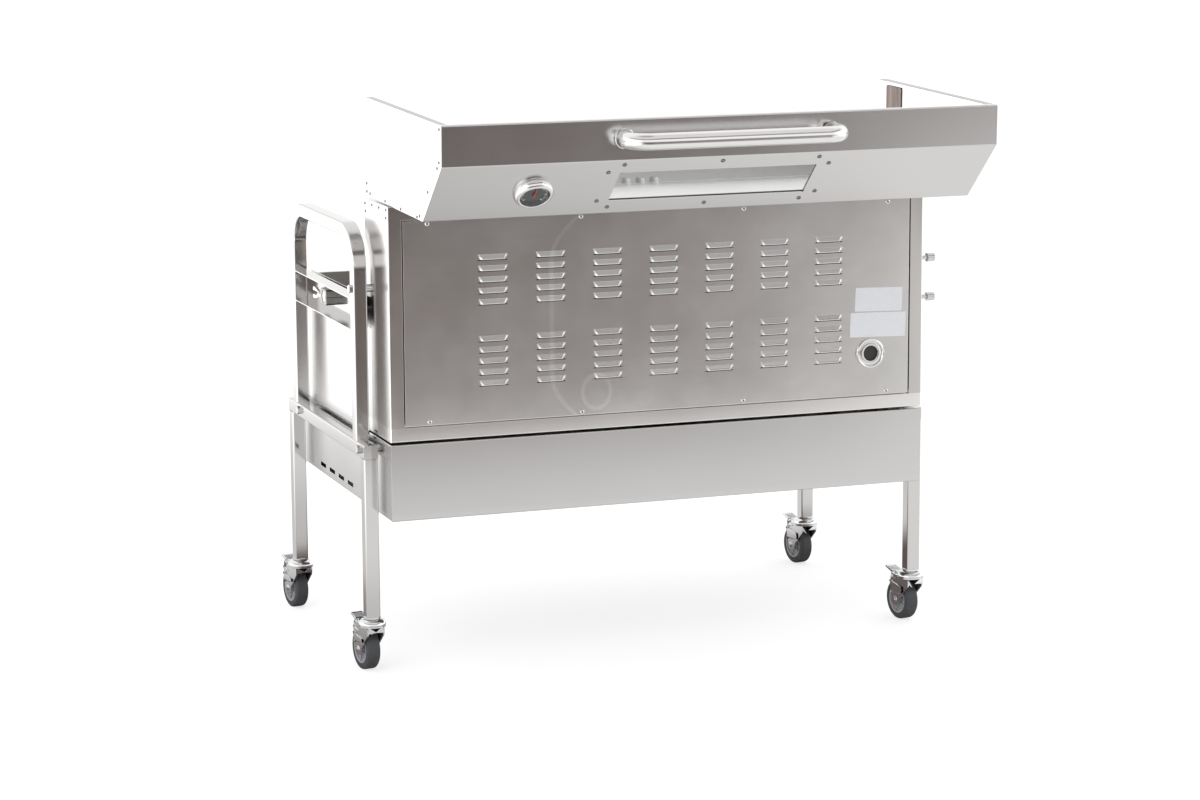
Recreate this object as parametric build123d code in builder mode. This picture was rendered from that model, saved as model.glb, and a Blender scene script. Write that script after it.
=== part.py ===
from build123d import *
from itertools import pairwise, product
from math import atan2, cos, degrees, pi, radians, sin, sqrt
import os

# A suckling pig rotisserie on a castor trolley, in millimetres, with its hood thrown open.
# X runs along the spit, -Y points to the louvred rear, +Y to the cook and Z up.
# The origin is on the floor, midway between the four legs.

# Sheet, fits and fasteners
sheet = 1.5
hood_sheet = 1.2
seat_gap = 0.3
bolt_clearance = 0.1
running_clearance = 0.05
rivet_r = 3.0
rivet_rise = 1.2
screw_r = 4.2
screw_rise = 1.8

# Cabinet
body_length = 1000.0
body_depth = 582.0
rear_y = -322.4
front_y = rear_y + body_depth
end_x = body_length / 2

# Rear housing
housing_depth = 142.5
housing_bottom_z = 420.5
housing_top_z = 828.4
housing_front_y = rear_y + housing_depth
frame_width = 26.0
lip_width = 16.0
panel_gap = 1.2

# Louvres
louvre_columns = 7
louvre_x = 1.0
louvre_pitch_x = 104.8
louvre_rows = 5
louvre_pitch_z = 19.35
louvre_group_z = (694.7, 553.1)
louvre_length = 56.0
louvre_height = 11.0
louvre_depth = 5.0
louvre_root = 0.01

# Blank plates and gas inlet on the louvred panel
upper_plate_x, upper_plate_z, upper_plate_w, upper_plate_h = 414.0, 620.8, 92.0, 43.0
lower_plate_x, lower_plate_z, lower_plate_w, lower_plate_h = 413.0, 575.0, 109.0, 44.5
plate_tilt = -1.6
plate_thickness = 0.6
inlet_x = 398.0
inlet_z = 523.7
inlet_r = 12.7
inlet_nut_length = 12.0
collar_r = 27.5
collar_depth = 5.0

# Lower box
box_bottom_z = 282.0
box_top_z = 416.3
box_flange = 20.0
vent_length = 38.0
vent_height = 7.5
vent_pitch = 62.5
vent_y = 40.5
vent_z = 298.5

# Trough
rim_z = 655.5
trough_front_z = 638.0
trough_slope_z = 452.0
drain_z = 424.0
drain_y0 = -60.0
drain_y1 = 60.0
drain_half = 325.0
trough_flange = 9.0

# Trolley
tube = 25.0
tube_wall = 1.5
side_gap = 6.0
leg_spacing = 495.2
leg_foot_z = 100.0
rail_top_z = 406.5
loop_rear_y = -197.9
loop_front_y = 211.6
loop_top_z = 784.0
loop_bend_r = 66.0
channel_floor_z = 599.5
bolt_r = 4.0
bolt_head_r = 7.4
bolt_head_rise = 5.5
rail_bolt_z = 396.0
rail_bolt_y = (-231.4, 178.6)
loop_bolt_z = 673.5
bolt_bore_r = bolt_r + bolt_clearance
tube_x = end_x + side_gap + tube / 2
tube_in_x = tube_x - tube / 2
tube_out_x = tube_x + tube / 2

# Castors
wheel_r = 37.5
wheel_width = 24.0
hub_r = 26.0
hub_rim = 3.0
hub_dish = 5.0
hub_boss_r = 9.0
tread_round = 4.0
castor_trail = 27.0
castor_turn = 8.0
axle_r = 4.0
axle_head_r = 6.5
pin_head = 3.0
kingpin_r = 5.0
fork_sheet = 2.5
fork_gap = 2.0
fork_cap_r = 24.0
fork_cap_z = 84.0
fork_heel = 17.0
arm_foot_r = 11.0
pedal_pivot_y = 31.0
pedal_pivot_z = 86.0
pedal_pivot_r = 2.5
pedal_reach = 38.0
pedal_width = 22.0

# Spit and its drive
spit_y = 6.0
spit_z = 632.0
spit_r = 10.0
spit_square = 14.0
socket_clearance = 0.1
prong_r = 4.0
prong_length = 150.0
prong_spread = 34.0
fork_x = 260.0
bearing_width = 40.0
bracket_plate = 3.0
bracket_z0 = 588.0
bracket_z1 = 688.0
stud_pitch = 73.0
stud_r = 4.0
stud_nut_r = 8.0
stud_reach = 50.0
stud_nut_length = 14.0
gear_module = 1.5
gear_teeth = 48
pinion_teeth = 12
gear_backlash = 0.35
gear_width = 12.0
gear_hub_r = 14.0
case_wall = 2.5
case_depth = 38.0
motor_r = 28.0
motor_length = 58.0
rotor_r = 19.0
rotor_length = 34.0
rotor_shaft_r = 4.0

# Gas system
gas_x = 420.0
burner_x = 240.0
burner_w = 380.0
burner_h = 170.0
burner_depth = 48.0
burner_z = 640.0
tile_border = 16.0
tile_thickness = 10.0
mixer_r = 14.0
mixer_y = -215.0
mixer_foot_z = 478.0
manifold_z = 300.0
manifold_r = 8.0
manifold_back = 36.0
valve_z = 350.0
valve_r = 10.0
valve_length = 46.0
spindle_r = 3.0
supply_r = 6.0
feed_r = 4.0
supply_y = -272.0
knob_r = 21.0
knob_depth = 22.0
knob_grip = 9.0
button_x = 466.0
button_r = 8.0
button_rise = 7.0
button_travel = 5.0

# Drip tray
tray_half = 340.0
tray_rear_y = -170.0
tray_bottom_z = 322.0
tray_top_z = 396.0
tray_lip = 9.0
tray_front_h = 98.0
pull_length = 160.0
pull_r = 5.0
pull_reach = 28.0

# Hood, measured from its hinge line: d forwards when shut, z upwards when shut
hood_inset = 5.7
hinge_y = rear_y + 147.5
hinge_rise = 2.2
hinge_z = housing_top_z + hinge_rise
hinge_pin_r = 1.2
hinge_leaf = 1.0
hinge_leaf_width = 24.0
hinge_xs = (-390.0, 10.0, 390.0)
hinge_length = 84.0
hinge_knuckles = 5
hinge_bolt_pitch = 26.7
hinge_bolt_d = 17.0
hinge_bolt_r = 2.0
cap_nut_r = 3.8
cap_nut_length = 11.0
hood_open_angle = 181.4
hood_half = end_x - hood_inset
hood_back_d = -4.2
hood_roof_d = 338.0
hood_front_d = 445.0
hood_slant_drop = 101.7
hood_height = 170.0
hood_rim_flange = 14.0
hood_back_flange = 36.0
cheek_length = 62.0
cheek_top = 10.0

# Window in the slanted hood face, s measured from the edge below the band
window_w = 352.0
window_x = -4.0
window_h = 78.0
window_s = 73.3
window_lap = 13.0
glass_thickness = 4.0
window_rows_s = (12.0, 129.5)
window_screw_x = 173.7
window_screw_r = 1.5
window_side_x = 197.0
window_side_s = (31.5, 111.0)

# Thermometer
thermo_inset = 173.9
thermo_x = thermo_inset - hood_half
thermo_s = 75.5
thermo_r = 34.5
thermo_rise = 14.5
thermo_dial_r = 26.5
thermo_stem_r = 4.0
thermo_stem = 62.0

# Hood handle
handle_r = 14.0
handle_wall = 1.5
handle_foot_x = 182.0
handle_bar_x = 199.0
handle_reach = 60.0
handle_bend_r = 34.0
handle_collar_r = 17.5
handle_collar_depth = 4.0

parts = {}


def keep(name, *pieces):
    """Labels a finished node, of one or more loose pieces, and lists it for writing."""
    part = pieces[0] if len(pieces) == 1 else Part(Compound(children=list(pieces)).wrapped)
    part.label = name
    parts[name] = part


def block(x0, x1, y0, y1, z0, z1, mode=Mode.ADD):
    """A box between two opposite corners."""
    with Locations(((x0 + x1) / 2, (y0 + y1) / 2, (z0 + z1) / 2)):
        Box(abs(x1 - x0), abs(y1 - y0), abs(z1 - z0), mode=mode)


def rod(start, end, radius, mode=Mode.ADD):
    """A round bar from one point to another."""
    a, b = Vector(*start), Vector(*end)
    with Locations(Plane(origin=(a + b) / 2, z_dir=b - a)):
        Cylinder(radius, (b - a).length, mode=mode)


def dome(centre, normal, radius, rise, mode=Mode.ADD):
    """A shallow round head that stands on a face at a point."""
    base = Vector(*centre)
    seat = Plane(origin=base, z_dir=normal)
    slope = degrees(2 * atan2(rise, radius))
    with BuildSketch(Plane(origin=base, x_dir=seat.x_dir, z_dir=-seat.y_dir)) as half:
        with BuildLine():
            Line((0, 0), (radius, 0))
            JernArc((0, rise), (1, 0), radius / sin(radians(slope)), -slope)
            Line((0, rise), (0, 0))
        make_face()
    revolve(half.sketch, axis=Axis(base, normal), mode=mode)


def folded(plane, points, thickness, low, high, mode=Mode.ADD):
    """Sheet folded along an open outline: the line is its outer skin, the other skin lies to its left."""
    line = [Vector(*p) for p in points]
    runs = [(b - a).normalized() for a, b in pairwise(line)]
    sides = [Vector(-run.Y, run.X) for run in runs]
    inner = [line[0] + sides[0] * thickness]
    for before, after, corner in zip(sides, sides[1:], line[1:-1]):
        middle = (before + after).normalized()
        inner.append(corner + middle * (thickness / middle.dot(before)))
    inner.append(line[-1] + sides[-1] * thickness)
    with BuildSketch(plane.offset(low)) as outline:
        with BuildLine():
            Polyline(*line, *reversed(inner), close=True)
        make_face()
    extrude(outline.sketch, amount=high - low, mode=mode)


def pipe(points, radius, bend):
    """Tube run through points, with the same bend at each corner."""
    with BuildLine() as route:
        FilletPolyline(*points, radius=bend)
    with BuildSketch(Plane(origin=route.line @ 0, z_dir=route.line % 0)) as section:
        Circle(radius)
    sweep(section.sketch, path=route.line)


def hexagon(start, end, corner_r, mode=Mode.ADD):
    """Hexagonal bar from one point to another."""
    a, b = Vector(*start), Vector(*end)
    with BuildSketch(Plane(origin=a, z_dir=b - a)) as section:
        RegularPolygon(corner_r, 6)
    extrude(section.sketch, amount=(b - a).length, mode=mode)


side_plane = Plane(origin=(0, 0, 0), x_dir=(0, 1, 0), z_dir=(1, 0, 0))

# Trolley side frames: two legs and a rail welded into one frame at each end of the cabinet
leg_ys = (-leg_spacing / 2, leg_spacing / 2)
with BuildPart() as side_frames:
    for side in (-1, 1):
        x = side * tube_x
        x0, x1 = x - tube / 2, x + tube / 2
        for y in leg_ys:
            block(x0, x1, y - tube / 2, y + tube / 2, leg_foot_z, rail_top_z - tube)
        block(x0, x1, leg_ys[0] - tube / 2, leg_ys[1] + tube / 2, rail_top_z - tube, rail_top_z)
        bore = tube / 2 - tube_wall
        for y in leg_ys:
            block(x - bore, x + bore, y - bore, y + bore, leg_foot_z, rail_top_z - tube, Mode.SUBTRACT)
        block(x - bore, x + bore, leg_ys[0] - bore, leg_ys[1] + bore, rail_top_z - tube + tube_wall,
              rail_top_z - tube_wall, Mode.SUBTRACT)
        for y in rail_bolt_y:
            rod((x - tube, y, rail_bolt_z), (x + tube, y, rail_bolt_z), bolt_bore_r, Mode.SUBTRACT)
keep("trolley_side_frames", side_frames.part)

# Push loops: square tube bent over the end of the cabinet, standing on the rails
loop_axis_z = loop_top_z - tube / 2
stud_z = (loop_bolt_z, loop_bolt_z - stud_pitch)
with BuildPart() as loops:
    for side in (-1, 1):
        with BuildLine(Plane(origin=(side * tube_x, 0, 0), x_dir=(0, 1, 0), z_dir=(1, 0, 0))) as loop_path:
            FilletPolyline(
                (loop_rear_y, rail_top_z),
                (loop_rear_y, loop_axis_z),
                (loop_front_y, loop_axis_z),
                (loop_front_y, rail_top_z),
                radius=loop_bend_r,
            )
        with BuildSketch(Plane(origin=(side * tube_x, loop_rear_y, rail_top_z), z_dir=(0, 0, 1))):
            Rectangle(tube, tube)
            Rectangle(tube - 2 * tube_wall, tube - 2 * tube_wall, mode=Mode.SUBTRACT)
        sweep(path=loop_path.line)
    rod((-tube_out_x - 1, loop_rear_y, loop_bolt_z), (-end_x, loop_rear_y, loop_bolt_z), bolt_bore_r,
        Mode.SUBTRACT)
    for z in stud_z:
        rod((end_x, loop_rear_y, z), (tube_out_x + 1, loop_rear_y, z), stud_r + bolt_clearance, Mode.SUBTRACT)
keep("push_loops", loops.part)

# Frame bolts with the spacers that hold the cabinet off the tubes
spacer_r = bolt_r + 3
bolt_places = [(side, y, rail_bolt_z) for side in (-1, 1) for y in rail_bolt_y]
bolt_places.append((-1, loop_rear_y, loop_bolt_z))
nut_rise = 5.0
with BuildPart() as frame_bolts:
    for side, y, z in bolt_places:
        rod((side * (end_x - sheet - nut_rise), y, z), (side * (tube_out_x + 1), y, z), bolt_r)
        rod((side * end_x, y, z), (side * tube_in_x, y, z), spacer_r)
        hexagon((side * tube_out_x, y, z), (side * (tube_out_x + bolt_head_rise), y, z), bolt_head_r)
        hexagon((side * (end_x - sheet), y, z), (side * (end_x - sheet - nut_rise), y, z), bolt_head_r)
keep("frame_bolts", frame_bolts.part)

# Lower box: rear skirt, floor and ends folded from one sheet, with top flanges, vents and tray runners
runner_z = tray_top_z - sheet - seat_gap
with BuildPart() as lower_box:
    block(-end_x, end_x, rear_y, front_y - sheet, box_bottom_z, box_top_z)
    block(-end_x + sheet, end_x - sheet, rear_y + sheet, front_y, box_bottom_z + sheet, box_top_z - sheet,
          Mode.SUBTRACT)
    block(-end_x + box_flange, end_x - box_flange, rear_y + box_flange, front_y, box_top_z - 2 * sheet,
          box_top_z + 1, Mode.SUBTRACT)
    for side in (-1, 1):
        for i in range(4):
            y = vent_y + (i - 1.5) * vent_pitch
            block(side * (end_x - 2 * sheet), side * (end_x + 1), y - vent_length / 2, y + vent_length / 2,
                  vent_z - vent_height / 2, vent_z + vent_height / 2, Mode.SUBTRACT)
        for y in rail_bolt_y:
            rod((side * (end_x - 2 * sheet), y, rail_bolt_z), (side * (end_x + 1), y, rail_bolt_z),
                bolt_bore_r, Mode.SUBTRACT)
        for x in (side * (end_x - box_flange / 2), side * 150):
            rod((x, rear_y + box_flange / 2, box_top_z), (x, rear_y + box_flange / 2, housing_bottom_z), 7)
    rod((inlet_x, supply_y, box_top_z - 3), (inlet_x, supply_y, box_top_z + 1), supply_r + 1, Mode.SUBTRACT)

# Rails that the drip tray's lips run on, hung from the front panel and the rear skirt
runner_x = tray_half + 2
with BuildPart() as runners:
    for side in (-1, 1):
        block(side * runner_x, side * (runner_x + tray_lip + sheet), rear_y + sheet, front_y - sheet,
              runner_z - sheet, runner_z)
        block(side * (runner_x + tray_lip), side * (runner_x + tray_lip + sheet), rear_y + sheet,
              front_y - sheet, runner_z - sheet, box_top_z - 2 * sheet)
keep("lower_box", lower_box.part, runners.part)

# Front panel with the tray mouth and the control holes
mouth_half = tray_half + tray_lip + 2
with BuildPart() as front_panel:
    block(-end_x, end_x, front_y - sheet, front_y, box_bottom_z, box_top_z)
    block(-mouth_half, mouth_half, front_y - 2 * sheet, front_y + 1, tray_bottom_z - 4, tray_top_z + 6,
          Mode.SUBTRACT)
    for side in (-1, 1):
        rod((side * gas_x, front_y - 5, valve_z), (side * gas_x, front_y + 1, valve_z), spindle_r + 1,
            Mode.SUBTRACT)
    rod((button_x, front_y - 5, valve_z), (button_x, front_y + 1, valve_z), button_r + seat_gap,
        Mode.SUBTRACT)
keep("front_panel", front_panel.part)

# Trough: front wall, front slope and rear slope that drain into the tray
with BuildPart() as trough:
    folded(
        side_plane,
        [
            (front_y + trough_flange, trough_front_z),
            (front_y, trough_front_z),
            (front_y, trough_slope_z),
            (drain_y1, drain_z),
            (drain_y1, box_top_z + seat_gap),
        ],
        -sheet,
        -end_x + sheet,
        end_x - sheet,
    )
    folded(
        side_plane,
        [
            (housing_front_y, trough_slope_z + 14),
            (housing_front_y, trough_slope_z),
            (drain_y0, drain_z),
            (drain_y0, box_top_z + seat_gap),
        ],
        sheet,
        -end_x + sheet,
        end_x - sheet,
    )
    for side in (-1, 1):
        block(side * drain_half, side * (end_x - sheet), drain_y0, drain_y1, drain_z - sheet, drain_z)
keep("trough", trough.part)

# Trough end walls, standing on the lower box
bearing_bore_r = spit_r + 4
with BuildPart() as end_walls:
    for side in (-1, 1):
        block(side * (end_x - sheet), side * end_x, housing_front_y, front_y, box_top_z, rim_z)
    rod((-end_x - 1, spit_y, spit_z), (end_x + 1, spit_y, spit_z), bearing_bore_r, Mode.SUBTRACT)
keep("trough_ends", end_walls.part)

# Channels between the loop uprights, which carry the spit bearing and close the ends of the trough
channel_y0 = loop_rear_y + tube / 2
channel_y1 = loop_front_y - tube / 2
with BuildPart() as channels:
    for side in (-1, 1):
        block(side * (tube_in_x), side * tube_out_x, channel_y0, channel_y1, rim_z - sheet, rim_z)
        block(side * (tube_in_x), side * tube_out_x, channel_y0, channel_y1, channel_floor_z,
              channel_floor_z + sheet)
        block(side * tube_in_x, side * (tube_in_x + sheet), channel_y0, channel_y1, channel_floor_z, rim_z)
        rod((side * (tube_in_x - 1), spit_y, spit_z), (side * (tube_in_x + 5), spit_y, spit_z),
            bearing_bore_r, Mode.SUBTRACT)
        for y in (channel_y0 + 40, channel_y1 - 40):
            rod((side * end_x, y, rim_z - 30), (side * (tube_in_x + sheet), y, rim_z - 30), spacer_r)
keep("end_channels", channels.part)

# Rear housing: top, floor and sides, with the frame and lip that the louvred panel lies in
panel_half = end_x - frame_width
panel_z0 = housing_bottom_z + frame_width
panel_z1 = housing_top_z - frame_width
feed_hole_r = feed_r + 1
with BuildPart() as housing:
    block(-end_x, end_x, rear_y, housing_front_y, housing_bottom_z, housing_top_z)
    block(-end_x + sheet, end_x - sheet, rear_y + sheet, housing_front_y + 1, housing_bottom_z + sheet,
          housing_top_z - sheet, Mode.SUBTRACT)
    block(-panel_half - panel_gap, panel_half + panel_gap, rear_y - 1, rear_y + 2 * sheet,
          panel_z0 - panel_gap, panel_z1 + panel_gap, Mode.SUBTRACT)
    block(-end_x + sheet, end_x - sheet, rear_y + sheet, rear_y + 2 * sheet, housing_bottom_z + sheet,
          housing_top_z - sheet)
    block(-panel_half + lip_width, panel_half - lip_width, rear_y, rear_y + 3 * sheet, panel_z0 + lip_width,
          panel_z1 - lip_width, Mode.SUBTRACT)
    rod((-end_x - 1, loop_rear_y, loop_bolt_z), (-end_x + 5, loop_rear_y, loop_bolt_z), bolt_bore_r,
        Mode.SUBTRACT)
    for z in stud_z:
        rod((end_x + 1, loop_rear_y, z), (end_x - 5, loop_rear_y, z), stud_r + bolt_clearance, Mode.SUBTRACT)
    for side in (-1, 1):
        rod((side * gas_x, mixer_y, housing_bottom_z - 1), (side * gas_x, mixer_y, housing_bottom_z + 5),
            feed_hole_r, Mode.SUBTRACT)
    rod((inlet_x, supply_y, housing_bottom_z - 1), (inlet_x, supply_y, housing_bottom_z + 5), supply_r + 1,
        Mode.SUBTRACT)
keep("rear_housing", housing.part)

# Wall between the housing and the cooking space, with a window for each burner
window_half = burner_w / 2 - tile_border
window_rise = burner_h / 2 - tile_border
wall_y = housing_front_y - sheet
with BuildPart() as back_wall:
    block(-end_x + sheet, end_x - sheet, wall_y, housing_front_y, housing_bottom_z + sheet,
          housing_top_z - sheet)
    for side in (-1, 1):
        x = side * burner_x
        block(x - window_half, x + window_half, wall_y - 1, housing_front_y + 1, burner_z - window_rise,
              burner_z + window_rise, Mode.SUBTRACT)
        rod((side * 26, wall_y - 1, burner_z), (side * 26, housing_front_y + 1, burner_z), 4 + bolt_clearance,
            Mode.SUBTRACT)
keep("chamber_back_wall", back_wall.part)

# Louvred rear panel
louvre_z0 = -louvre_height / 2
louvre_z1 = louvre_height / 2
with BuildPart() as louvre:
    for mode, inset in ((Mode.ADD, 0.0), (Mode.SUBTRACT, hood_sheet)):
        with BuildSketch(side_plane.offset(-louvre_length / 2 + inset)):
            with BuildLine():
                Polyline(
                    (0, louvre_z1 - inset),
                    (-louvre_depth + inset, louvre_z0),
                    (louvre_root + inset, louvre_z0),
                    close=True,
                )
            make_face()
        extrude(amount=louvre_length - 2 * inset, mode=mode)
column_xs = [louvre_x + (i - (louvre_columns - 1) / 2) * louvre_pitch_x for i in range(louvre_columns)]
row_steps = [(j - (louvre_rows - 1) / 2) * louvre_pitch_z for j in range(louvre_rows)]
row_zs = [middle + step for middle in louvre_group_z for step in row_steps]
panel_screws = [(x, z) for x in (-430, -152, 152, 430) for z in (panel_z0 + 6.5, panel_z1 - 6)]
with BuildPart() as louvre_panel:
    block(-panel_half, panel_half, rear_y, rear_y + sheet, panel_z0, panel_z1)
    with BuildSketch(Plane.XZ.offset(-rear_y)):
        with Locations(*[(x, z - 1) for x, z in product(column_xs, row_zs)]):
            Rectangle(louvre_length - 3 * hood_sheet, louvre_height - 3 * hood_sheet)
    extrude(amount=-2 * sheet, mode=Mode.SUBTRACT)
    with BuildSketch(Plane.XZ.offset(-rear_y)):
        with Locations((inlet_x, inlet_z)):
            Circle(inlet_r + 1)
        with Locations(*panel_screws):
            Circle(screw_r / 2 + bolt_clearance)
    extrude(amount=-2 * sheet, mode=Mode.SUBTRACT)
    with Locations(*[(x, rear_y, z) for x, z in product(column_xs, row_zs)]):
        add(louvre.part)
keep("louvred_rear_panel", louvre_panel.part)

# Fasteners of the rear housing: panel screws and the rivets of its side walls
housing_rivets = [
    (rear_y + 138.6, 820.0),
    (rear_y + 136.5, 806.5),
    (rear_y + 95.3, 821.4),
    (rear_y + 52.0, 821.8),
    (rear_y + 9.5, 822.2),
    (rear_y + 10.3, 808.5),
]
with BuildPart() as housing_fasteners:
    for x, z in panel_screws:
        dome((x, rear_y, z), (0, -1, 0), screw_r, screw_rise)
        rod((x, rear_y - 0.5, z), (x, rear_y + sheet, z), screw_r / 2)
    for side, (y, z) in product((-1, 1), housing_rivets):
        dome((side * end_x, y, z), (side, 0, 0), rivet_r, rivet_rise)
keep("housing_fasteners", housing_fasteners.part)

# Blank plates, each a thin sheet stuck to the panel
with BuildPart() as blank_plates:
    for x, z, w, h in (
        (upper_plate_x, upper_plate_z, upper_plate_w, upper_plate_h),
        (lower_plate_x, lower_plate_z, lower_plate_w, lower_plate_h),
    ):
        with BuildSketch(Plane.XZ.offset(-rear_y)):
            with Locations((x, z)):
                Rectangle(w, h, rotation=plate_tilt)
        extrude(amount=plate_thickness)
keep("blank_plates", blank_plates.part)

# Gas inlet: chrome collar on the panel, and the inlet fitting that its nut holds behind the sheet
with BuildPart() as collar:
    with BuildSketch(Plane.XZ.offset(-rear_y)):
        with Locations((inlet_x, inlet_z)):
            Circle(collar_r)
            Circle(inlet_r + 1, mode=Mode.SUBTRACT)
    extrude(amount=collar_depth)
    outer_rim = collar.edges().filter_by(GeomType.CIRCLE).group_by(Axis.Y)[0].sort_by(SortBy.RADIUS)[-1]
    chamfer(outer_rim, 3)
keep("inlet_collar", collar.part)

with BuildPart() as inlet:
    inlet_y = rear_y + sheet
    elbow_y = supply_y - supply_r - 2
    rod((inlet_x, inlet_y, inlet_z), (inlet_x, elbow_y, inlet_z), inlet_r - 1)
    hexagon((inlet_x, inlet_y, inlet_z), (inlet_x, inlet_y + inlet_nut_length, inlet_z), inlet_r + 5)
    rod((inlet_x, elbow_y, inlet_z), (inlet_x, supply_y + supply_r + 2, inlet_z), supply_r + 3)
keep("inlet_fitting", inlet.part)

# Infrared burners in the rear housing, facing the spit
with BuildPart() as burner_boxes:
    for side in (-1, 1):
        x = side * burner_x
        block(x - burner_w / 2, x + burner_w / 2, wall_y - burner_depth, wall_y, burner_z - burner_h / 2,
              burner_z + burner_h / 2)
        block(x - window_half, x + window_half, wall_y - burner_depth + sheet, wall_y + 1,
              burner_z - window_rise, burner_z + window_rise, Mode.SUBTRACT)
        mixer_x = side * gas_x
        rod((mixer_x, mixer_y, mixer_foot_z), (mixer_x, mixer_y, burner_z - burner_h / 2 + 1), mixer_r)
        rod((mixer_x, mixer_y, mixer_foot_z - 1), (mixer_x, mixer_y, mixer_foot_z + 30), mixer_r - 2,
            Mode.SUBTRACT)
keep("burner_boxes", burner_boxes.part)

with BuildPart() as tiles:
    for side in (-1, 1):
        x = side * burner_x
        block(x - window_half, x + window_half, housing_front_y - tile_thickness - 2, housing_front_y - 2,
              burner_z - window_rise, burner_z + window_rise)
keep("ceramic_tiles", tiles.part)

with BuildPart() as electrodes:
    for side in (-1, 1):
        rod((side * 26, wall_y - 22, burner_z), (side * 26, housing_front_y + 8, burner_z), 4)
        rod((side * 26, housing_front_y + 6, burner_z), (side * 62, housing_front_y + 6, burner_z), 1.2)

# Gas pipework: supply from the inlet to the manifold, and a feed from each valve to its burner
manifold_y = front_y - manifold_back
valve_back_y = front_y - sheet - valve_length
with BuildPart() as manifold:
    rod((-gas_x - 12, manifold_y, manifold_z), (gas_x + 12, manifold_y, manifold_z), manifold_r)
    for side in (-1, 1):
        rod((side * gas_x, manifold_y, manifold_z), (side * gas_x, manifold_y, valve_z), 5)
        rod((side * gas_x, valve_back_y, valve_z), (side * gas_x, front_y - sheet, valve_z), valve_r)
        rod((side * gas_x, front_y - 14, valve_z), (side * gas_x, front_y + 1, valve_z),
            spindle_r + running_clearance, Mode.SUBTRACT)
keep("gas_manifold", manifold.part)

pipe_bend = 16.0
with BuildPart() as pipes:
    pipe(
        [
            (inlet_x, supply_y, inlet_z - supply_r - 3),
            (inlet_x, supply_y, manifold_z),
            (inlet_x, manifold_y - manifold_r, manifold_z),
        ],
        supply_r,
        pipe_bend,
    )
    for side in (-1, 1):
        pipe(
            [
                (side * gas_x, valve_back_y, valve_z),
                (side * gas_x, mixer_y, valve_z),
                (side * gas_x, mixer_y, mixer_foot_z + 12),
            ],
            feed_r,
            pipe_bend,
        )
        mixer_x = side * gas_x
        rod((mixer_x, mixer_y, mixer_foot_z - 8), (mixer_x, mixer_y, mixer_foot_z - seat_gap), mixer_r)
keep("gas_pipes", pipes.part)

# Burner knobs with their valve spindles
for side, name in ((-1, "left"), (1, "right")):
    x = side * gas_x
    with BuildPart() as knob:
        rod((x, front_y + seat_gap, valve_z), (x, front_y + knob_depth * 0.45, valve_z), knob_r)
        block(x - knob_grip / 2, x + knob_grip / 2, front_y + seat_gap, front_y + knob_depth,
              valve_z - knob_r + 1, valve_z + knob_r - 1)
        rod((x, front_y - 13, valve_z), (x, front_y + 4, valve_z), spindle_r)
    keep(f"burner_knob_{name}", knob.part)

# Igniter: a case behind the front panel and a button that travels into it
with BuildPart() as igniter:
    rod((button_x, front_y - 40, valve_z), (button_x, front_y - sheet, valve_z), button_r + 3)
    rod((button_x, front_y - 20, valve_z), (button_x, front_y, valve_z), button_r + seat_gap, Mode.SUBTRACT)
keep("igniter", igniter.part, electrodes.part)
with BuildPart() as button:
    button_foot_y = front_y - 20 + button_travel + 1
    rod((button_x, button_foot_y, valve_z), (button_x, front_y + button_rise, valve_z), button_r)
    tip = button.edges().filter_by(GeomType.CIRCLE).group_by(Axis.Y)[-1]
    fillet(tip, 1.5)
keep("igniter_button", button.part)

# Drip tray: a drawer with side lips on the runners, a front and a pull
tray_front_y = front_y + seat_gap
with BuildPart() as tray:
    block(-tray_half, tray_half, tray_rear_y, tray_front_y, tray_bottom_z, tray_top_z)
    block(-tray_half + sheet, tray_half - sheet, tray_rear_y + sheet, tray_front_y, tray_bottom_z + sheet,
          tray_top_z + 1, Mode.SUBTRACT)
    for side in (-1, 1):
        block(side * tray_half, side * (tray_half + tray_lip), tray_rear_y, tray_front_y, tray_top_z - sheet,
              tray_top_z)
    front_mid_z = (tray_bottom_z + tray_top_z) / 2
    block(-mouth_half - 6, mouth_half + 6, tray_front_y, tray_front_y + sheet, front_mid_z - tray_front_h / 2,
          front_mid_z + tray_front_h / 2)
pull_y = tray_front_y + sheet
with BuildPart() as pull:
    pipe(
        [
            (-pull_length / 2, pull_y, front_mid_z),
            (-pull_length / 2, pull_y + pull_reach, front_mid_z),
            (pull_length / 2, pull_y + pull_reach, front_mid_z),
            (pull_length / 2, pull_y, front_mid_z),
        ],
        pull_r,
        12.0,
    )
keep("drip_tray", tray.part, pull.part)

# Spit with a square shank for the drive socket
spit_left_x = -(tube_out_x - 4)
case_x0 = tube_out_x + bracket_plate
case_x1 = case_x0 + case_depth
shank_x0 = tube_out_x - 5
shank_x1 = case_x1 - 2
with BuildPart() as spit:
    rod((spit_left_x, spit_y, spit_z), (shank_x0, spit_y, spit_z), spit_r)
    block(shank_x0 - 1, shank_x1, spit_y - spit_square / 2, spit_y + spit_square / 2,
          spit_z - spit_square / 2, spit_z + spit_square / 2)
keep("spit_rod", spit.part)

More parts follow.
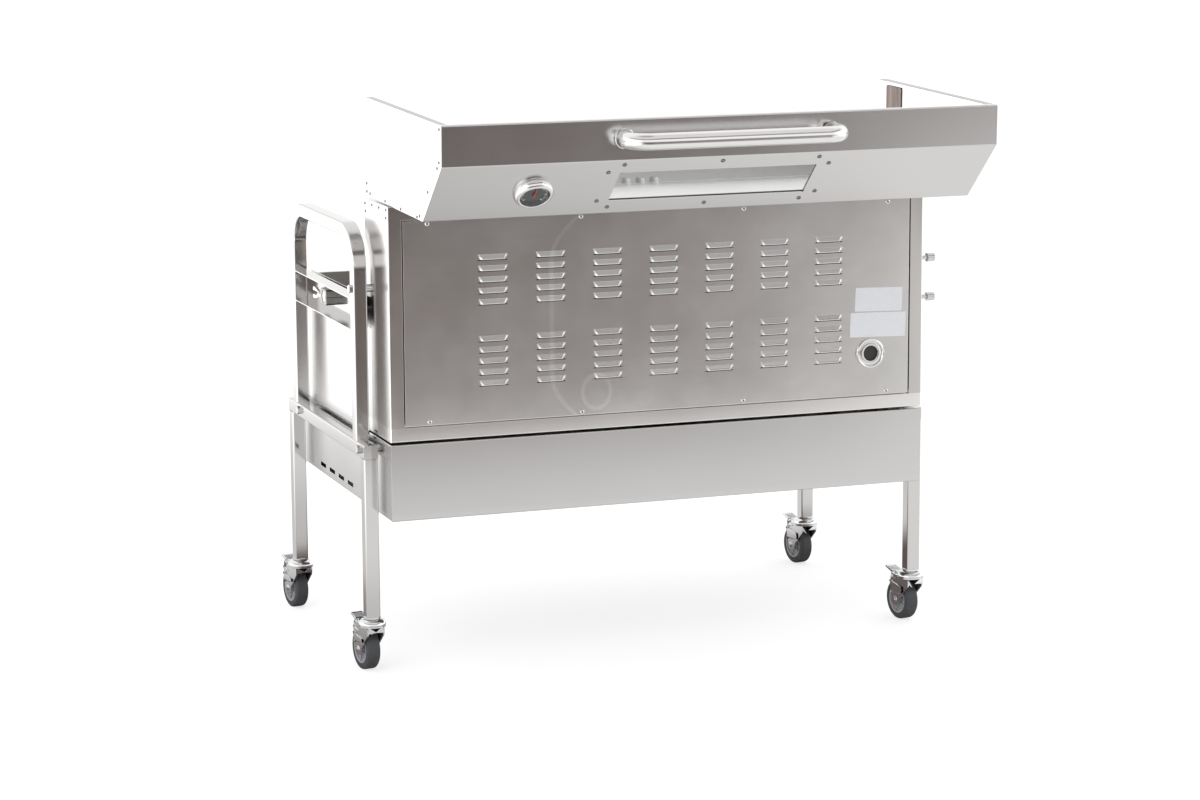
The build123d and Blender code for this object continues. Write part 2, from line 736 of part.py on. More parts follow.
# Meat forks that slide on the spit, each with a clamp screw
fork_hub_r = spit_r + 8
fork_hub_length = 24.0
for side, name in ((-1, "left"), (1, "right")):
    x = side * fork_x
    with BuildPart() as meat_fork:
        rod((x - fork_hub_length / 2, spit_y, spit_z), (x + fork_hub_length / 2, spit_y, spit_z), fork_hub_r)
        prong_half = prong_spread + prong_r
        block(x - 3, x + 3, spit_y - 6, spit_y + 6, spit_z - prong_half, spit_z + prong_half)
        for step in (-1, 1):
            z = spit_z + step * prong_spread
            rod((x + side * 3, spit_y, z), (x - side * (prong_length - 24), spit_y, z), prong_r)
            with Locations(Plane(origin=(x - side * (prong_length - 12), spit_y, z), z_dir=(-side, 0, 0))):
                Cone(prong_r, 0.6, 24)
        rod((x - fork_hub_length, spit_y, spit_z), (x + fork_hub_length, spit_y, spit_z),
            spit_r + running_clearance, Mode.SUBTRACT)
        rod((x, spit_y + spit_r - 2, spit_z), (x, spit_y + fork_hub_r + 2, spit_z), 3 + bolt_clearance,
            Mode.SUBTRACT)
    with BuildPart() as clamp_screw:
        rod((x, spit_y + spit_r + seat_gap, spit_z), (x, spit_y + fork_hub_r + 14, spit_z), 3)
        block(x - 14, x + 14, spit_y + fork_hub_r + 6, spit_y + fork_hub_r + 14, spit_z - 2, spit_z + 2)
    keep(f"meat_fork_{name}", meat_fork.part, clamp_screw.part)

# Left spit bearing in its channel: a split block closed by a wing screw that lies along the channel
bearing_x0 = -(tube_out_x - 3)
bearing_x1 = -(tube_in_x + sheet)
bearing_floor = spit_z - 14
bearing_top = spit_z + 14
with BuildPart() as bearing:
    block(bearing_x0, bearing_x1, spit_y - bearing_width / 2, spit_y + bearing_width / 2, bearing_floor,
          bearing_top)
    rod((bearing_x0 - 1, spit_y, spit_z), (bearing_x1 + 1, spit_y, spit_z), spit_r + running_clearance,
        Mode.SUBTRACT)
    screw_y0 = spit_y + bearing_width / 2
    bearing_x = (bearing_x0 + bearing_x1) / 2
    screw_z = spit_z - 5
    rod((bearing_x, screw_y0 - 8, screw_z), (bearing_x, screw_y0 + 8, screw_z), 4 + bolt_clearance,
        Mode.SUBTRACT)
with BuildPart() as wing_screw:
    rod((bearing_x, screw_y0 - 7, screw_z), (bearing_x, screw_y0 + 10, screw_z), 4)
    rod((bearing_x, screw_y0 + seat_gap, screw_z), (bearing_x, screw_y0 + 42, screw_z), 5.5)
    for step in (-1, 1):
        block(bearing_x - 3, bearing_x + 3, screw_y0 + 36, screw_y0 + 80, screw_z + step * 3,
              screw_z + step * 11)
keep("spit_bearing", bearing.part, wing_screw.part)

# Motor bracket across the right-hand loop, held by two studs with long round nuts
gear_pitch_r = gear_module * gear_teeth / 2
pinion_pitch_r = gear_module * pinion_teeth / 2
motor_y = spit_y + gear_pitch_r + pinion_pitch_r
with BuildPart() as bracket:
    block(tube_out_x, tube_out_x + bracket_plate, loop_rear_y - tube / 2, loop_front_y + tube / 2,
          bracket_z0, bracket_z1)
    rod((tube_out_x - 1, spit_y, spit_z), (case_x0 + 1, spit_y, spit_z), gear_hub_r + 3, Mode.SUBTRACT)
    for z in stud_z:
        rod((tube_out_x - 1, loop_rear_y, z), (case_x0 + 1, loop_rear_y, z), stud_r + bolt_clearance,
            Mode.SUBTRACT)
stud_tip = tube_out_x + stud_reach
with BuildPart() as studs:
    for z in stud_z:
        rod((end_x - sheet - nut_rise, loop_rear_y, z), (stud_tip, loop_rear_y, z), stud_r)
        rod((end_x, loop_rear_y, z), (tube_in_x, loop_rear_y, z), spacer_r)
        hexagon((end_x - sheet - nut_rise, loop_rear_y, z), (end_x - sheet, loop_rear_y, z), bolt_head_r)
        rod((case_x0, loop_rear_y, z), (case_x0 + 2, loop_rear_y, z), stud_nut_r + 2)
        rod((stud_tip - stud_nut_length, loop_rear_y, z), (stud_tip, loop_rear_y, z), stud_nut_r)
keep("motor_bracket", bracket.part, studs.part)

# Gear motor: an open case with its cover, and the motor can on the cover
case_y0 = spit_y - gear_pitch_r - 9
case_y1 = motor_y + pinion_pitch_r + 9
case_rise = gear_pitch_r + 9
with BuildPart() as case:
    block(case_x0, case_x1 - case_wall, case_y0, case_y1, spit_z - case_rise, spit_z + case_rise)
    block(case_x0 + case_wall, case_x1, case_y0 + case_wall, case_y1 - case_wall,
          spit_z - case_rise + case_wall, spit_z + case_rise - case_wall, Mode.SUBTRACT)
    rod((case_x0 - 1, spit_y, spit_z), (case_x0 + 5, spit_y, spit_z), gear_hub_r + running_clearance,
        Mode.SUBTRACT)
keep("gear_case", case.part)
with BuildPart() as case_cover:
    block(case_x1 - case_wall, case_x1, case_y0, case_y1, spit_z - case_rise, spit_z + case_rise)
    rod((case_x1 - 5, spit_y, spit_z), (case_x1 + 1, spit_y, spit_z), gear_hub_r + running_clearance,
        Mode.SUBTRACT)
    rod((case_x1 - 5, motor_y, spit_z), (case_x1 + 1, motor_y, spit_z), rotor_shaft_r + running_clearance,
        Mode.SUBTRACT)
    rod((case_x1, motor_y, spit_z), (case_x1 + motor_length, motor_y, spit_z), motor_r)
    rod((case_x1 + case_wall, motor_y, spit_z), (case_x1 + motor_length - case_wall, motor_y, spit_z),
        motor_r - case_wall, Mode.SUBTRACT)
    rod((case_x1 - 5, motor_y, spit_z), (case_x1 + 5, motor_y, spit_z), rotor_shaft_r + running_clearance,
        Mode.SUBTRACT)
keep("motor_can", case_cover.part)


def gear_outline(teeth, turn):
    """Spur gear outline: involute flanks thinned by the backlash, with straight lands at tip and root."""
    pitch_r = gear_module * teeth / 2
    base_r = pitch_r * cos(radians(20))
    root_r = pitch_r - 1.25 * gear_module
    tip_r = pitch_r + gear_module
    start_r = max(base_r, root_r)

    def involute(r):
        spread = sqrt(max(r * r / base_r**2 - 1, 0))
        return spread - atan2(spread, 1)

    half = pi / (2 * teeth) - gear_backlash / (4 * pitch_r) + involute(pitch_r)
    radii = [start_r + (tip_r - start_r) * i / 4 for i in range(5)]
    points = []
    for tooth in range(teeth):
        middle = turn + 2 * pi * tooth / teeth
        rising = [(r, middle - half + involute(r)) for r in radii]
        falling = [(r, middle + half - involute(r)) for r in reversed(radii)]
        root = [(root_r, rising[0][1])] if root_r < start_r - 0.01 else []
        root_end = [(root_r, falling[-1][1])] if root_r < start_r - 0.01 else []
        points += [(r * cos(a), r * sin(a)) for r, a in root + rising + falling + root_end]
    return points


# Gears: the spit's gear on a hollow hub and the pinion on the rotor shaft
gear_x0 = case_x0 + 12
axle_plane = Plane(origin=(gear_x0, spit_y, spit_z), x_dir=(0, 1, 0), z_dir=(1, 0, 0))
pinion_plane = Plane(origin=(gear_x0, motor_y, spit_z), x_dir=(0, 1, 0), z_dir=(1, 0, 0))
with BuildPart() as gear:
    with BuildSketch(axle_plane):
        with BuildLine():
            Polyline(*gear_outline(gear_teeth, 0), close=True)
        make_face()
    extrude(amount=gear_width)
    rod((case_x0 + seat_gap, spit_y, spit_z), (case_x1, spit_y, spit_z), gear_hub_r)
    socket = spit_square / 2 + socket_clearance
    block(case_x0 - 1, case_x1 - 1.5, spit_y - socket, spit_y + socket, spit_z - socket, spit_z + socket,
          Mode.SUBTRACT)
keep("drive_gear", gear.part)
with BuildPart() as rotor:
    with BuildSketch(pinion_plane):
        with BuildLine():
            Polyline(*gear_outline(pinion_teeth, pi / pinion_teeth + pi), close=True)
        make_face()
    extrude(amount=gear_width)
    rotor_end = case_x1 + motor_length - case_wall - seat_gap
    rod((gear_x0, motor_y, spit_z), (rotor_end, motor_y, spit_z), rotor_shaft_r)
    rotor_x = case_x1 + motor_length / 2
    rod((rotor_x - rotor_length / 2, motor_y, spit_z), (rotor_x + rotor_length / 2, motor_y, spit_z), rotor_r)
keep("motor_rotor", rotor.part)

# Hood: folded roof, slant and band
turn = radians(hood_open_angle)
hood_plane = Plane(origin=(0, hinge_y, hinge_z), x_dir=(0, cos(turn), sin(turn)), z_dir=(1, 0, 0))
hood_roof_z = -hinge_rise
hood_corner_z = hood_roof_z - hood_slant_drop
hood_rim_z = hood_roof_z - hood_height
slant_run = Vector(hood_front_d - hood_roof_d, -hood_slant_drop).normalized()


def hood_point(d, z, x=0.0):
    """A place on the hood, wherever the hood stands."""
    return hood_plane.from_local_coords((d, z, x))


slant_out = hood_point(-slant_run.Y, slant_run.X) - hood_point(0, 0)
slant_plane = Plane(origin=hood_point(hood_front_d, hood_corner_z), x_dir=(1, 0, 0), z_dir=slant_out)
band_plane = Plane(origin=hood_point(hood_front_d, hood_corner_z), x_dir=(1, 0, 0),
                   z_dir=hood_point(1, 0) - hood_point(0, 0))
window_screws = [(window_x + step * window_screw_x, -s) for s in window_rows_s for step in (-1, 0, 1)]
window_screws += [(window_x + side * window_side_x, -s) for side in (-1, 1) for s in window_side_s]
barrel_gap_d = hinge_rise + 0.6
hinge_bolt_xs = [x + step * hinge_bolt_pitch for x in hinge_xs for step in (-1, 0, 1)]
with BuildPart() as hood_shell:
    folded(
        hood_plane,
        [
            (barrel_gap_d, hood_roof_z - hood_back_flange),
            (barrel_gap_d, hood_roof_z),
            (hood_roof_d, hood_roof_z),
            (hood_front_d, hood_corner_z),
            (hood_front_d, hood_rim_z),
            (hood_front_d - hood_rim_flange, hood_rim_z),
        ],
        -hood_sheet,
        -hood_half + hood_sheet,
        hood_half - hood_sheet,
    )
    with BuildSketch(slant_plane):
        with Locations((window_x, -window_s)):
            Rectangle(window_w, window_h)
        with Locations((thermo_x, -thermo_s)):
            Circle(thermo_stem_r + 6)
        with Locations(*window_screws):
            Circle(window_screw_r + bolt_clearance)
    extrude(amount=-3 * hood_sheet, mode=Mode.SUBTRACT)
    for x in hinge_bolt_xs:
        rod(hood_point(hinge_bolt_d, hood_roof_z + 1, x), hood_point(hinge_bolt_d, hood_roof_z - 3, x),
            hinge_bolt_r + bolt_clearance, Mode.SUBTRACT)
keep("hood_shell", hood_shell.part)

# Hood sides with a folded rim, and the cheek plate inside each at the hinge end
side_outline = [
    (hood_back_d, hood_roof_z),
    (hood_roof_d, hood_roof_z),
    (hood_front_d, hood_corner_z),
    (hood_front_d, hood_rim_z),
    (hood_back_d, hood_rim_z),
]
for side, name in ((-1, "left"), (1, "right")):
    with BuildPart() as hood_side:
        with BuildSketch(hood_plane.offset(side * hood_half)):
            with BuildLine():
                Polyline(*side_outline, close=True)
            make_face()
        extrude(amount=-side * hood_sheet)
        with BuildSketch(hood_plane.offset(side * (hood_half - hood_sheet))):
            with BuildLine():
                Polyline(
                    (hood_back_d, hood_rim_z),
                    (hood_front_d - hood_rim_flange - 1, hood_rim_z),
                    (hood_front_d - hood_rim_flange - 1, hood_rim_z + hood_sheet),
                    (hood_back_d, hood_rim_z + hood_sheet),
                    close=True,
                )
            make_face()
        extrude(amount=-side * (hood_rim_flange - hood_sheet))
        cheek_z = hood_rim_z + cheek_top
        with BuildSketch(hood_plane.offset(side * (hood_half - hood_sheet))):
            with BuildLine():
                Polyline(
                    (0, cheek_z),
                    (cheek_length, cheek_z),
                    (cheek_length, hood_roof_z - hood_back_flange - 2),
                    (0, hood_roof_z - hood_back_flange - 2),
                    close=True,
                )
            make_face()
        extrude(amount=-side * 2)
    keep(f"hood_side_{name}", hood_side.part)

# Hood fasteners: side rivets, window screws, and the hinge bolts with their cap nuts
hood_rivets = [
    (1.5, -23.0),
    (2.0, -9.0),
    (22.0, -7.6),
    (115.5, -6.8),
    (210.0, -6.1),
    (305.6, -5.9),
    (320.0, -9.6),
    (368.0, -55.0),
    (421.0, -100.6),
    (431.0, -111.0),
    (433.0, -164.6),
]
with BuildPart() as hood_fasteners:
    for side, (d, z) in product((-1, 1), hood_rivets):
        dome(hood_point(d, z, side * hood_half), (side, 0, 0), rivet_r, rivet_rise)
    for x, y in window_screws:
        dome(slant_plane.from_local_coords((x, y, 0)), slant_out, screw_r, screw_rise)
        shank_end = slant_plane.from_local_coords((x, y, -hood_sheet - 2))
        rod(slant_plane.from_local_coords((x, y, 0.5)), shank_end, window_screw_r)
    for x in hinge_bolt_xs:
        nut_z = hood_roof_z - hood_sheet
        rod(hood_point(hinge_bolt_d, hood_roof_z + hinge_leaf, x), hood_point(hinge_bolt_d, nut_z - 1, x),
            hinge_bolt_r)
        hexagon(hood_point(hinge_bolt_d, nut_z, x), hood_point(hinge_bolt_d, nut_z - cap_nut_length / 2, x),
                cap_nut_r + 0.4)
        rod(hood_point(hinge_bolt_d, nut_z, x), hood_point(hinge_bolt_d, nut_z - cap_nut_length + 2, x),
            cap_nut_r - 0.3)
        dome(hood_point(hinge_bolt_d, nut_z - cap_nut_length + 2, x), hood_point(0, -1) - hood_point(0, 0),
             cap_nut_r - 0.3, 2)
keep("hood_fasteners", hood_fasteners.part)

# Window: glass behind the slant and the retaining frame behind the glass
with BuildPart() as glass:
    with BuildSketch(slant_plane.offset(-hood_sheet)):
        with Locations((window_x, -window_s)):
            Rectangle(window_w + 2 * window_lap, window_h + window_lap)
    extrude(amount=-glass_thickness)
keep("window_glass", glass.part)
with BuildPart() as retainer:
    with BuildSketch(slant_plane.offset(-hood_sheet)):
        with Locations((window_x, -window_s)):
            Rectangle(window_side_x * 2 + 18, window_rows_s[1] - window_rows_s[0] + 14)
            Rectangle(window_w + 2 * window_lap + 1, window_h + window_lap + 1, mode=Mode.SUBTRACT)
        with Locations(*window_screws):
            Circle(window_screw_r + bolt_clearance, mode=Mode.SUBTRACT)
    extrude(amount=-glass_thickness)
    with BuildSketch(slant_plane.offset(-hood_sheet - glass_thickness)):
        with Locations((window_x, -window_s)):
            Rectangle(window_side_x * 2 + 18, window_rows_s[1] - window_rows_s[0] + 14)
            Rectangle(window_w, window_h, mode=Mode.SUBTRACT)
    extrude(amount=-hood_sheet)
keep("window_retainer", retainer.part)

# Thermometer: case with bezel and probe, dial, pointer and lens
thermo_place = slant_plane.from_local_coords((thermo_x, -thermo_s, 0))
thermo_plane = Plane(origin=thermo_place, x_dir=(1, 0, 0), z_dir=slant_out)


def thermo_point(height):
    """A place on the thermometer's axis, above the hood's skin."""
    return thermo_plane.from_local_coords((0, 0, height))


dial_height = 7.0
with BuildPart() as thermo_case:
    rod(thermo_point(0), thermo_point(thermo_rise), thermo_r)
    bezel_edge = thermo_case.faces().sort_by(Axis(thermo_point(0), slant_out))[-1].edges()
    chamfer(bezel_edge, thermo_rise * 0.4)
    rod(thermo_point(dial_height - 1.5), thermo_point(thermo_rise + 1), thermo_dial_r, Mode.SUBTRACT)
    rod(thermo_point(1), thermo_point(-thermo_stem), thermo_stem_r)
    rod(thermo_point(1), thermo_point(-hood_sheet - 0.5), thermo_stem_r + 5.5)
    rod(thermo_point(-hood_sheet), thermo_point(-hood_sheet - 8), 17)
keep("thermometer_case", thermo_case.part)
with BuildPart() as thermo_dial:
    rod(thermo_point(dial_height - 1.5), thermo_point(dial_height - 0.5), thermo_dial_r - 0.2)
    rod(thermo_point(dial_height - 0.5), thermo_point(dial_height + 2.8), 1.5)
keep("thermometer_dial", thermo_dial.part)
with BuildPart() as pointer:
    rod(thermo_point(dial_height + 0.5), thermo_point(dial_height + 2.5), 3.2)
    with BuildSketch(thermo_plane.offset(dial_height + 1)):
        with BuildLine():
            Polyline((-2, 2), (-0.6, thermo_dial_r - 5), (0.6, thermo_dial_r - 5), (2, 2), close=True)
        make_face()
    extrude(amount=1)
    rod(thermo_point(dial_height), thermo_point(dial_height + 3), 1.5 + running_clearance, Mode.SUBTRACT)
keep("thermometer_pointer", pointer.part)
with BuildPart() as lens:
    rod(thermo_point(thermo_rise - 4), thermo_point(thermo_rise - 2), thermo_dial_r - 0.2)
keep("thermometer_lens", lens.part)

# Hood handle: a bent tube standing on the band, with a collar at each foot
handle_v = (hood_height - hood_slant_drop) * 0.535
foot_plane = Plane(origin=hood_point(hood_front_d, hood_corner_z - handle_v), x_dir=(1, 0, 0),
                   z_dir=hood_point(0, 1) - hood_point(0, 0))
handle_points = [
    (-handle_foot_x, 0),
    (-handle_bar_x, handle_reach),
    (handle_bar_x, handle_reach),
    (handle_foot_x, 0),
]
with BuildPart() as handle:
    with BuildLine(foot_plane) as handle_path:
        FilletPolyline(*handle_points, radius=handle_bend_r)
    with BuildSketch(Plane(origin=handle_path.line @ 0, z_dir=handle_path.line % 0)):
        Circle(handle_r)
        Circle(handle_r - handle_wall, mode=Mode.SUBTRACT)
    sweep(path=handle_path.line)
    band_cut = Plane(origin=band_plane.origin, x_dir=(1, 0, 0), z_dir=band_plane.z_dir)
    split(bisect_by=band_cut, keep=Keep.TOP)
handle_local_y = (handle_path.line @ 0 - band_plane.origin).dot(band_plane.y_dir)
with BuildPart() as collars:
    for side in (-1, 1):
        foot = band_plane.from_local_coords((side * handle_foot_x, handle_local_y, 0))
        out = band_plane.z_dir
        rod(foot, foot + out * handle_collar_depth, handle_collar_r)
        rod(foot - out, foot + out * (handle_collar_depth + 1), handle_r + 1.2, Mode.SUBTRACT)
keep("hood_handle", handle.part, collars.part)

# Hinges: pairs of leaves with alternate knuckles, each pair on its own pin
knuckle = hinge_length / hinge_knuckles
fixed_plane = Plane(origin=hood_plane.origin, x_dir=(0, -1, 0), z_dir=(-1, 0, 0))
with BuildPart() as hinge_pins:
    for x in hinge_xs:
        rod((x - hinge_length / 2, hinge_y, hinge_z), (x + hinge_length / 2, hinge_y, hinge_z), hinge_pin_r)
for name, plane, parity, others in (
    ("hinge_leaf_fixed", fixed_plane, 0, [hinge_pins.part]),
    ("hinge_leaf_hood", hood_plane, 1, []),
):
    with BuildPart() as leaves:
        for hinge_x in hinge_xs:
            start = plane.z_dir.X * hinge_x - hinge_length / 2
            with BuildSketch(plane.offset(start)):
                with BuildLine():
                    Polyline(
                        (0, -hinge_rise),
                        (hinge_leaf_width, -hinge_rise),
                        (hinge_leaf_width, -hinge_rise + hinge_leaf),
                        (0, -hinge_rise + hinge_leaf),
                        close=True,
                    )
                make_face()
            extrude(amount=hinge_length)
            for i in range(hinge_knuckles):
                own = i % 2 == parity
                gap = -seat_gap if own else seat_gap
                with BuildSketch(plane.offset(start + i * knuckle - gap / 2)):
                    Circle(hinge_rise if own else hinge_rise + 0.4)
                extrude(amount=knuckle + gap, mode=Mode.ADD if own else Mode.SUBTRACT)
            with BuildSketch(plane.offset(start - 1)):
                Circle(hinge_pin_r + running_clearance)
            extrude(amount=hinge_length + 2, mode=Mode.SUBTRACT)
        if plane is hood_plane:
            for x in hinge_bolt_xs:
                rod(hood_point(hinge_bolt_d, hood_roof_z - 1, x), hood_point(hinge_bolt_d, 1, x),
                    hinge_bolt_r + bolt_clearance, Mode.SUBTRACT)
    keep(name, leaves.part, *others)

# Castors: stems fixed in the legs, then fork, wheel and brake pedal for each
corners = [(sx, sy) for sx in (-1, 1) for sy in (-1, 1)]
corner_names = {(-1, -1): "rear_left", (-1, 1): "front_left", (1, -1): "rear_right", (1, 1): "front_right"}
stem_plate_z = leg_foot_z - 3
with BuildPart() as stems:
    for sx, sy in corners:
        x, y = sx * tube_x, sy * leg_spacing / 2
        plug = tube / 2 - tube_wall - bolt_clearance
        block(x - plug, x + plug, y - plug, y + plug, leg_foot_z, leg_foot_z + 28)
        rod((x, y, stem_plate_z), (x, y, leg_foot_z), tube * 0.6)
        rod((x, y, fork_cap_z - 3), (x, y, stem_plate_z), kingpin_r)
        rod((x, y, fork_cap_z - 3), (x, y, fork_cap_z - seat_gap), kingpin_r + 4)
keep("castor_stems", stems.part)

arm_in = wheel_width / 2 + fork_gap
arm_out = arm_in + fork_sheet
for sx, sy in corners:
    name = corner_names[sx, sy]
    foot = Vector(sx * tube_x, sy * leg_spacing / 2, 0)
    across = Vector(cos(radians(castor_turn)), sin(radians(castor_turn)), 0)
    trail = Vector(-sin(radians(castor_turn)), cos(radians(castor_turn)), 0)
    arm_plane = Plane(origin=foot, x_dir=trail, z_dir=across)

    def at(a, b, z):
        """A place in the castor's own frame: across the wheel, along the trail and up."""
        return foot + across * a + trail * b + Vector(0, 0, z)

    with BuildPart() as fork:
        rod(at(0, 0, fork_cap_z), at(0, 0, stem_plate_z - seat_gap), fork_cap_r)
        with BuildSketch(arm_plane.offset(-arm_out)):
            with BuildLine():
                Polyline(
                    (-fork_heel, fork_cap_z + 5),
                    (pedal_pivot_y + 6, fork_cap_z + 5),
                    (pedal_pivot_y + 6, fork_cap_z - 4),
                    (castor_trail + arm_foot_r, wheel_r),
                    (castor_trail - arm_foot_r, wheel_r),
                    (-fork_heel, fork_cap_z - 12),
                    close=True,
                )
            make_face()
            with Locations((castor_trail, wheel_r)):
                Circle(arm_foot_r)
        extrude(amount=2 * arm_out)
        with BuildSketch(arm_plane.offset(-arm_in)):
            with Locations((castor_trail, wheel_r)):
                Rectangle(4 * wheel_r, 2 * (fork_cap_z - wheel_r))
            with Locations((fork_cap_r + wheel_r, fork_cap_z)):
                Rectangle(2 * wheel_r, wheel_r)
        extrude(amount=2 * arm_in, mode=Mode.SUBTRACT)
        rod(at(0, 0, fork_cap_z - 5), at(0, 0, leg_foot_z), kingpin_r + running_clearance, Mode.SUBTRACT)
        rod(at(-arm_out - 1, castor_trail, wheel_r), at(arm_out + 1, castor_trail, wheel_r),
            axle_r + running_clearance, Mode.SUBTRACT)
        rod(at(-arm_out - 1, pedal_pivot_y, pedal_pivot_z), at(arm_out + 1, pedal_pivot_y, pedal_pivot_z),
            pedal_pivot_r + running_clearance, Mode.SUBTRACT)
    with BuildPart() as fork_pins:
        for b, z, r, head_r in (
            (castor_trail, wheel_r, axle_r, axle_head_r),
            (pedal_pivot_y, pedal_pivot_z, pedal_pivot_r, pedal_pivot_r + 1),
        ):
            rod(at(-arm_out, b, z), at(arm_out, b, z), r)
            for step in (-1, 1):
                rod(at(step * arm_out, b, z), at(step * (arm_out + pin_head), b, z), head_r)
    keep(f"castor_fork_{name}", fork.part, fork_pins.part)
    with BuildPart() as tread:
        rod(at(-wheel_width / 2, castor_trail, wheel_r), at(wheel_width / 2, castor_trail, wheel_r), wheel_r)
        fillet(tread.edges().filter_by(GeomType.CIRCLE), tread_round)
        rod(at(-wheel_width, castor_trail, wheel_r), at(wheel_width, castor_trail, wheel_r), hub_r,
            Mode.SUBTRACT)
    with BuildPart() as hub:
        rod(at(-wheel_width / 2, castor_trail, wheel_r), at(wheel_width / 2, castor_trail, wheel_r), hub_r)
        for step in (-1, 1):
            rod(at(step * wheel_width / 2, castor_trail, wheel_r), at(step * (wheel_width / 2 - hub_dish),
                castor_trail, wheel_r), hub_r - hub_rim, Mode.SUBTRACT)
        rod(at(-wheel_width / 2, castor_trail, wheel_r), at(wheel_width / 2, castor_trail, wheel_r),
            hub_boss_r)
        rod(at(-wheel_width, castor_trail, wheel_r), at(wheel_width, castor_trail, wheel_r),
            axle_r + running_clearance, Mode.SUBTRACT)
    keep(f"castor_wheel_{name}", tread.part, hub.part)
    barrel_half = arm_in - seat_gap
    with BuildPart() as pedal:
        rod(at(-barrel_half, pedal_pivot_y, pedal_pivot_z), at(barrel_half, pedal_pivot_y, pedal_pivot_z), 5)
        with BuildSketch(arm_plane.offset(-pedal_width / 2)):
            with BuildLine():
                Polyline(
                    (pedal_pivot_y, pedal_pivot_z - 4),
                    (pedal_pivot_y + 10, pedal_pivot_z - 4),
                    (pedal_pivot_y + pedal_reach, pedal_pivot_z + 5),
                    (pedal_pivot_y + pedal_reach, pedal_pivot_z + 8.5),
                    (pedal_pivot_y, pedal_pivot_z - 0.5),
                    close=True,
                )
            make_face()
        extrude(amount=pedal_width)
        rod(at(-barrel_half - 1, pedal_pivot_y, pedal_pivot_z),
            at(barrel_half + 1, pedal_pivot_y, pedal_pivot_z),
            pedal_pivot_r + running_clearance, Mode.SUBTRACT)
    keep(f"castor_pedal_{name}", pedal.part)

for name, part in parts.items():
    print(name, len(part.solids()), round(part.volume))

os.makedirs("parts", exist_ok=True)
for name, part in parts.items():
    export_step(part, f"parts/{name}.step")
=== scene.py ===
from itertools import product
from math import cos, pi, radians, sin

import bmesh
import bpy
import numpy as np
from mathutils import Matrix


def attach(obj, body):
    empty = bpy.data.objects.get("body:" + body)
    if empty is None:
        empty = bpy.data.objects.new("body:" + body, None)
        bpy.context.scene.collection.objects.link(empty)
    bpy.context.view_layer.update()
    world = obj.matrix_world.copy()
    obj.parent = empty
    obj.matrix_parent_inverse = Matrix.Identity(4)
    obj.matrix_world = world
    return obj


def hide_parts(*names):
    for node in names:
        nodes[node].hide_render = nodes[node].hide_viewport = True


# Looks of a suckling pig rotisserie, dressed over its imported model.
# Shapes are worked out in the model's millimetres and turned into metres when a piece is made.

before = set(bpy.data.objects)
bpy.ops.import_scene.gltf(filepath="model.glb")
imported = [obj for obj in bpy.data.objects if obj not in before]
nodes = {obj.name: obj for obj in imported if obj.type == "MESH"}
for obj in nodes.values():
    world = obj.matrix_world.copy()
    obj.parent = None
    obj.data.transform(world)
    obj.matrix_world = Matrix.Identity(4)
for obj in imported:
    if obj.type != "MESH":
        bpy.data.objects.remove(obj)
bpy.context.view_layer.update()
MM = 0.001

# Sizes shared with the model
SHEET = 1.5
END_X = 500.0
REAR_Y, FRONT_Y = -322.4, 259.6
HOUSING_Z0, HOUSING_Z1 = 420.5, 828.4
BOX_Z0, BOX_Z1 = 282.0, 416.3
TUBE, TUBE_X, LEG_Y = 25.0, 518.5, 247.6
LEG_FOOT_Z, RAIL_TOP_Z = 100.0, 406.5
LOOP_REAR_Y, LOOP_FRONT_Y, LOOP_AXIS_Z = -197.9, 211.6, 771.5
LOOP_BEND = 66.0
SPIT_Z = 632.0
KNOB_X, KNOB_Z = 420, 350.0
HINGE_Y, HINGE_Z, HOOD_TURN = -174.9, 830.6, radians(181.4)
HOOD_HALF, HOOD_SHEET = 494.3, 1.2
ROOF_Z, CORNER_Z, RIM_Z = -2.2, -103.9, -172.2
ROOF_D, BAND_D = 338.0, 445.0
WINDOW_X, WINDOW_S, WINDOW_W, WINDOW_H = -4.0, 73.3, 352.0, 78.0

# Places of the rivets on both ends: on the hood from its hinge, forwards and up when shut, and on the housing
# from its rear face, with z from the floor
HOOD_RIVETS = [(1.5, -23.0), (2.0, -9.0), (22.0, -7.6), (115.5, -6.8), (210.0, -6.1), (305.6, -5.9),
               (320.0, -9.6), (368.0, -55.0), (421.0, -100.6), (431.0, -111.0), (433.0, -164.6)]
HOUSING_RIVETS = [(138.6, 820.0), (136.5, 806.5), (95.3, 821.4), (52.0, 821.8), (9.5, 822.2), (10.3, 808.5)]


class Wire:
    """An output of a node that Python's operators turn into Math nodes."""

    def __init__(self, finish, socket):
        self.finish, self.socket = finish, socket

    def maths(self, operation, first, second=0.0):
        return self.finish.maths(operation, first, second)

    def __add__(self, other):
        return self.maths("ADD", self, other)

    def __sub__(self, other):
        return self.maths("SUBTRACT", self, other)

    def __rsub__(self, other):
        return self.maths("SUBTRACT", other, self)

    def __mul__(self, other):
        return self.maths("MULTIPLY", self, other)

    def __truediv__(self, other):
        return self.maths("DIVIDE", self, other)

    __radd__, __rmul__ = __add__, __mul__

    def size(self):
        return self.maths("ABSOLUTE", self)

    def step(self, low, high):
        """Smooth rise from 0 at low to 1 at high."""
        settings = {"interpolation_type": "SMOOTHSTEP"}
        return self.finish.node("MapRange", settings, {"Value": self, "From Min": low, "From Max": high})


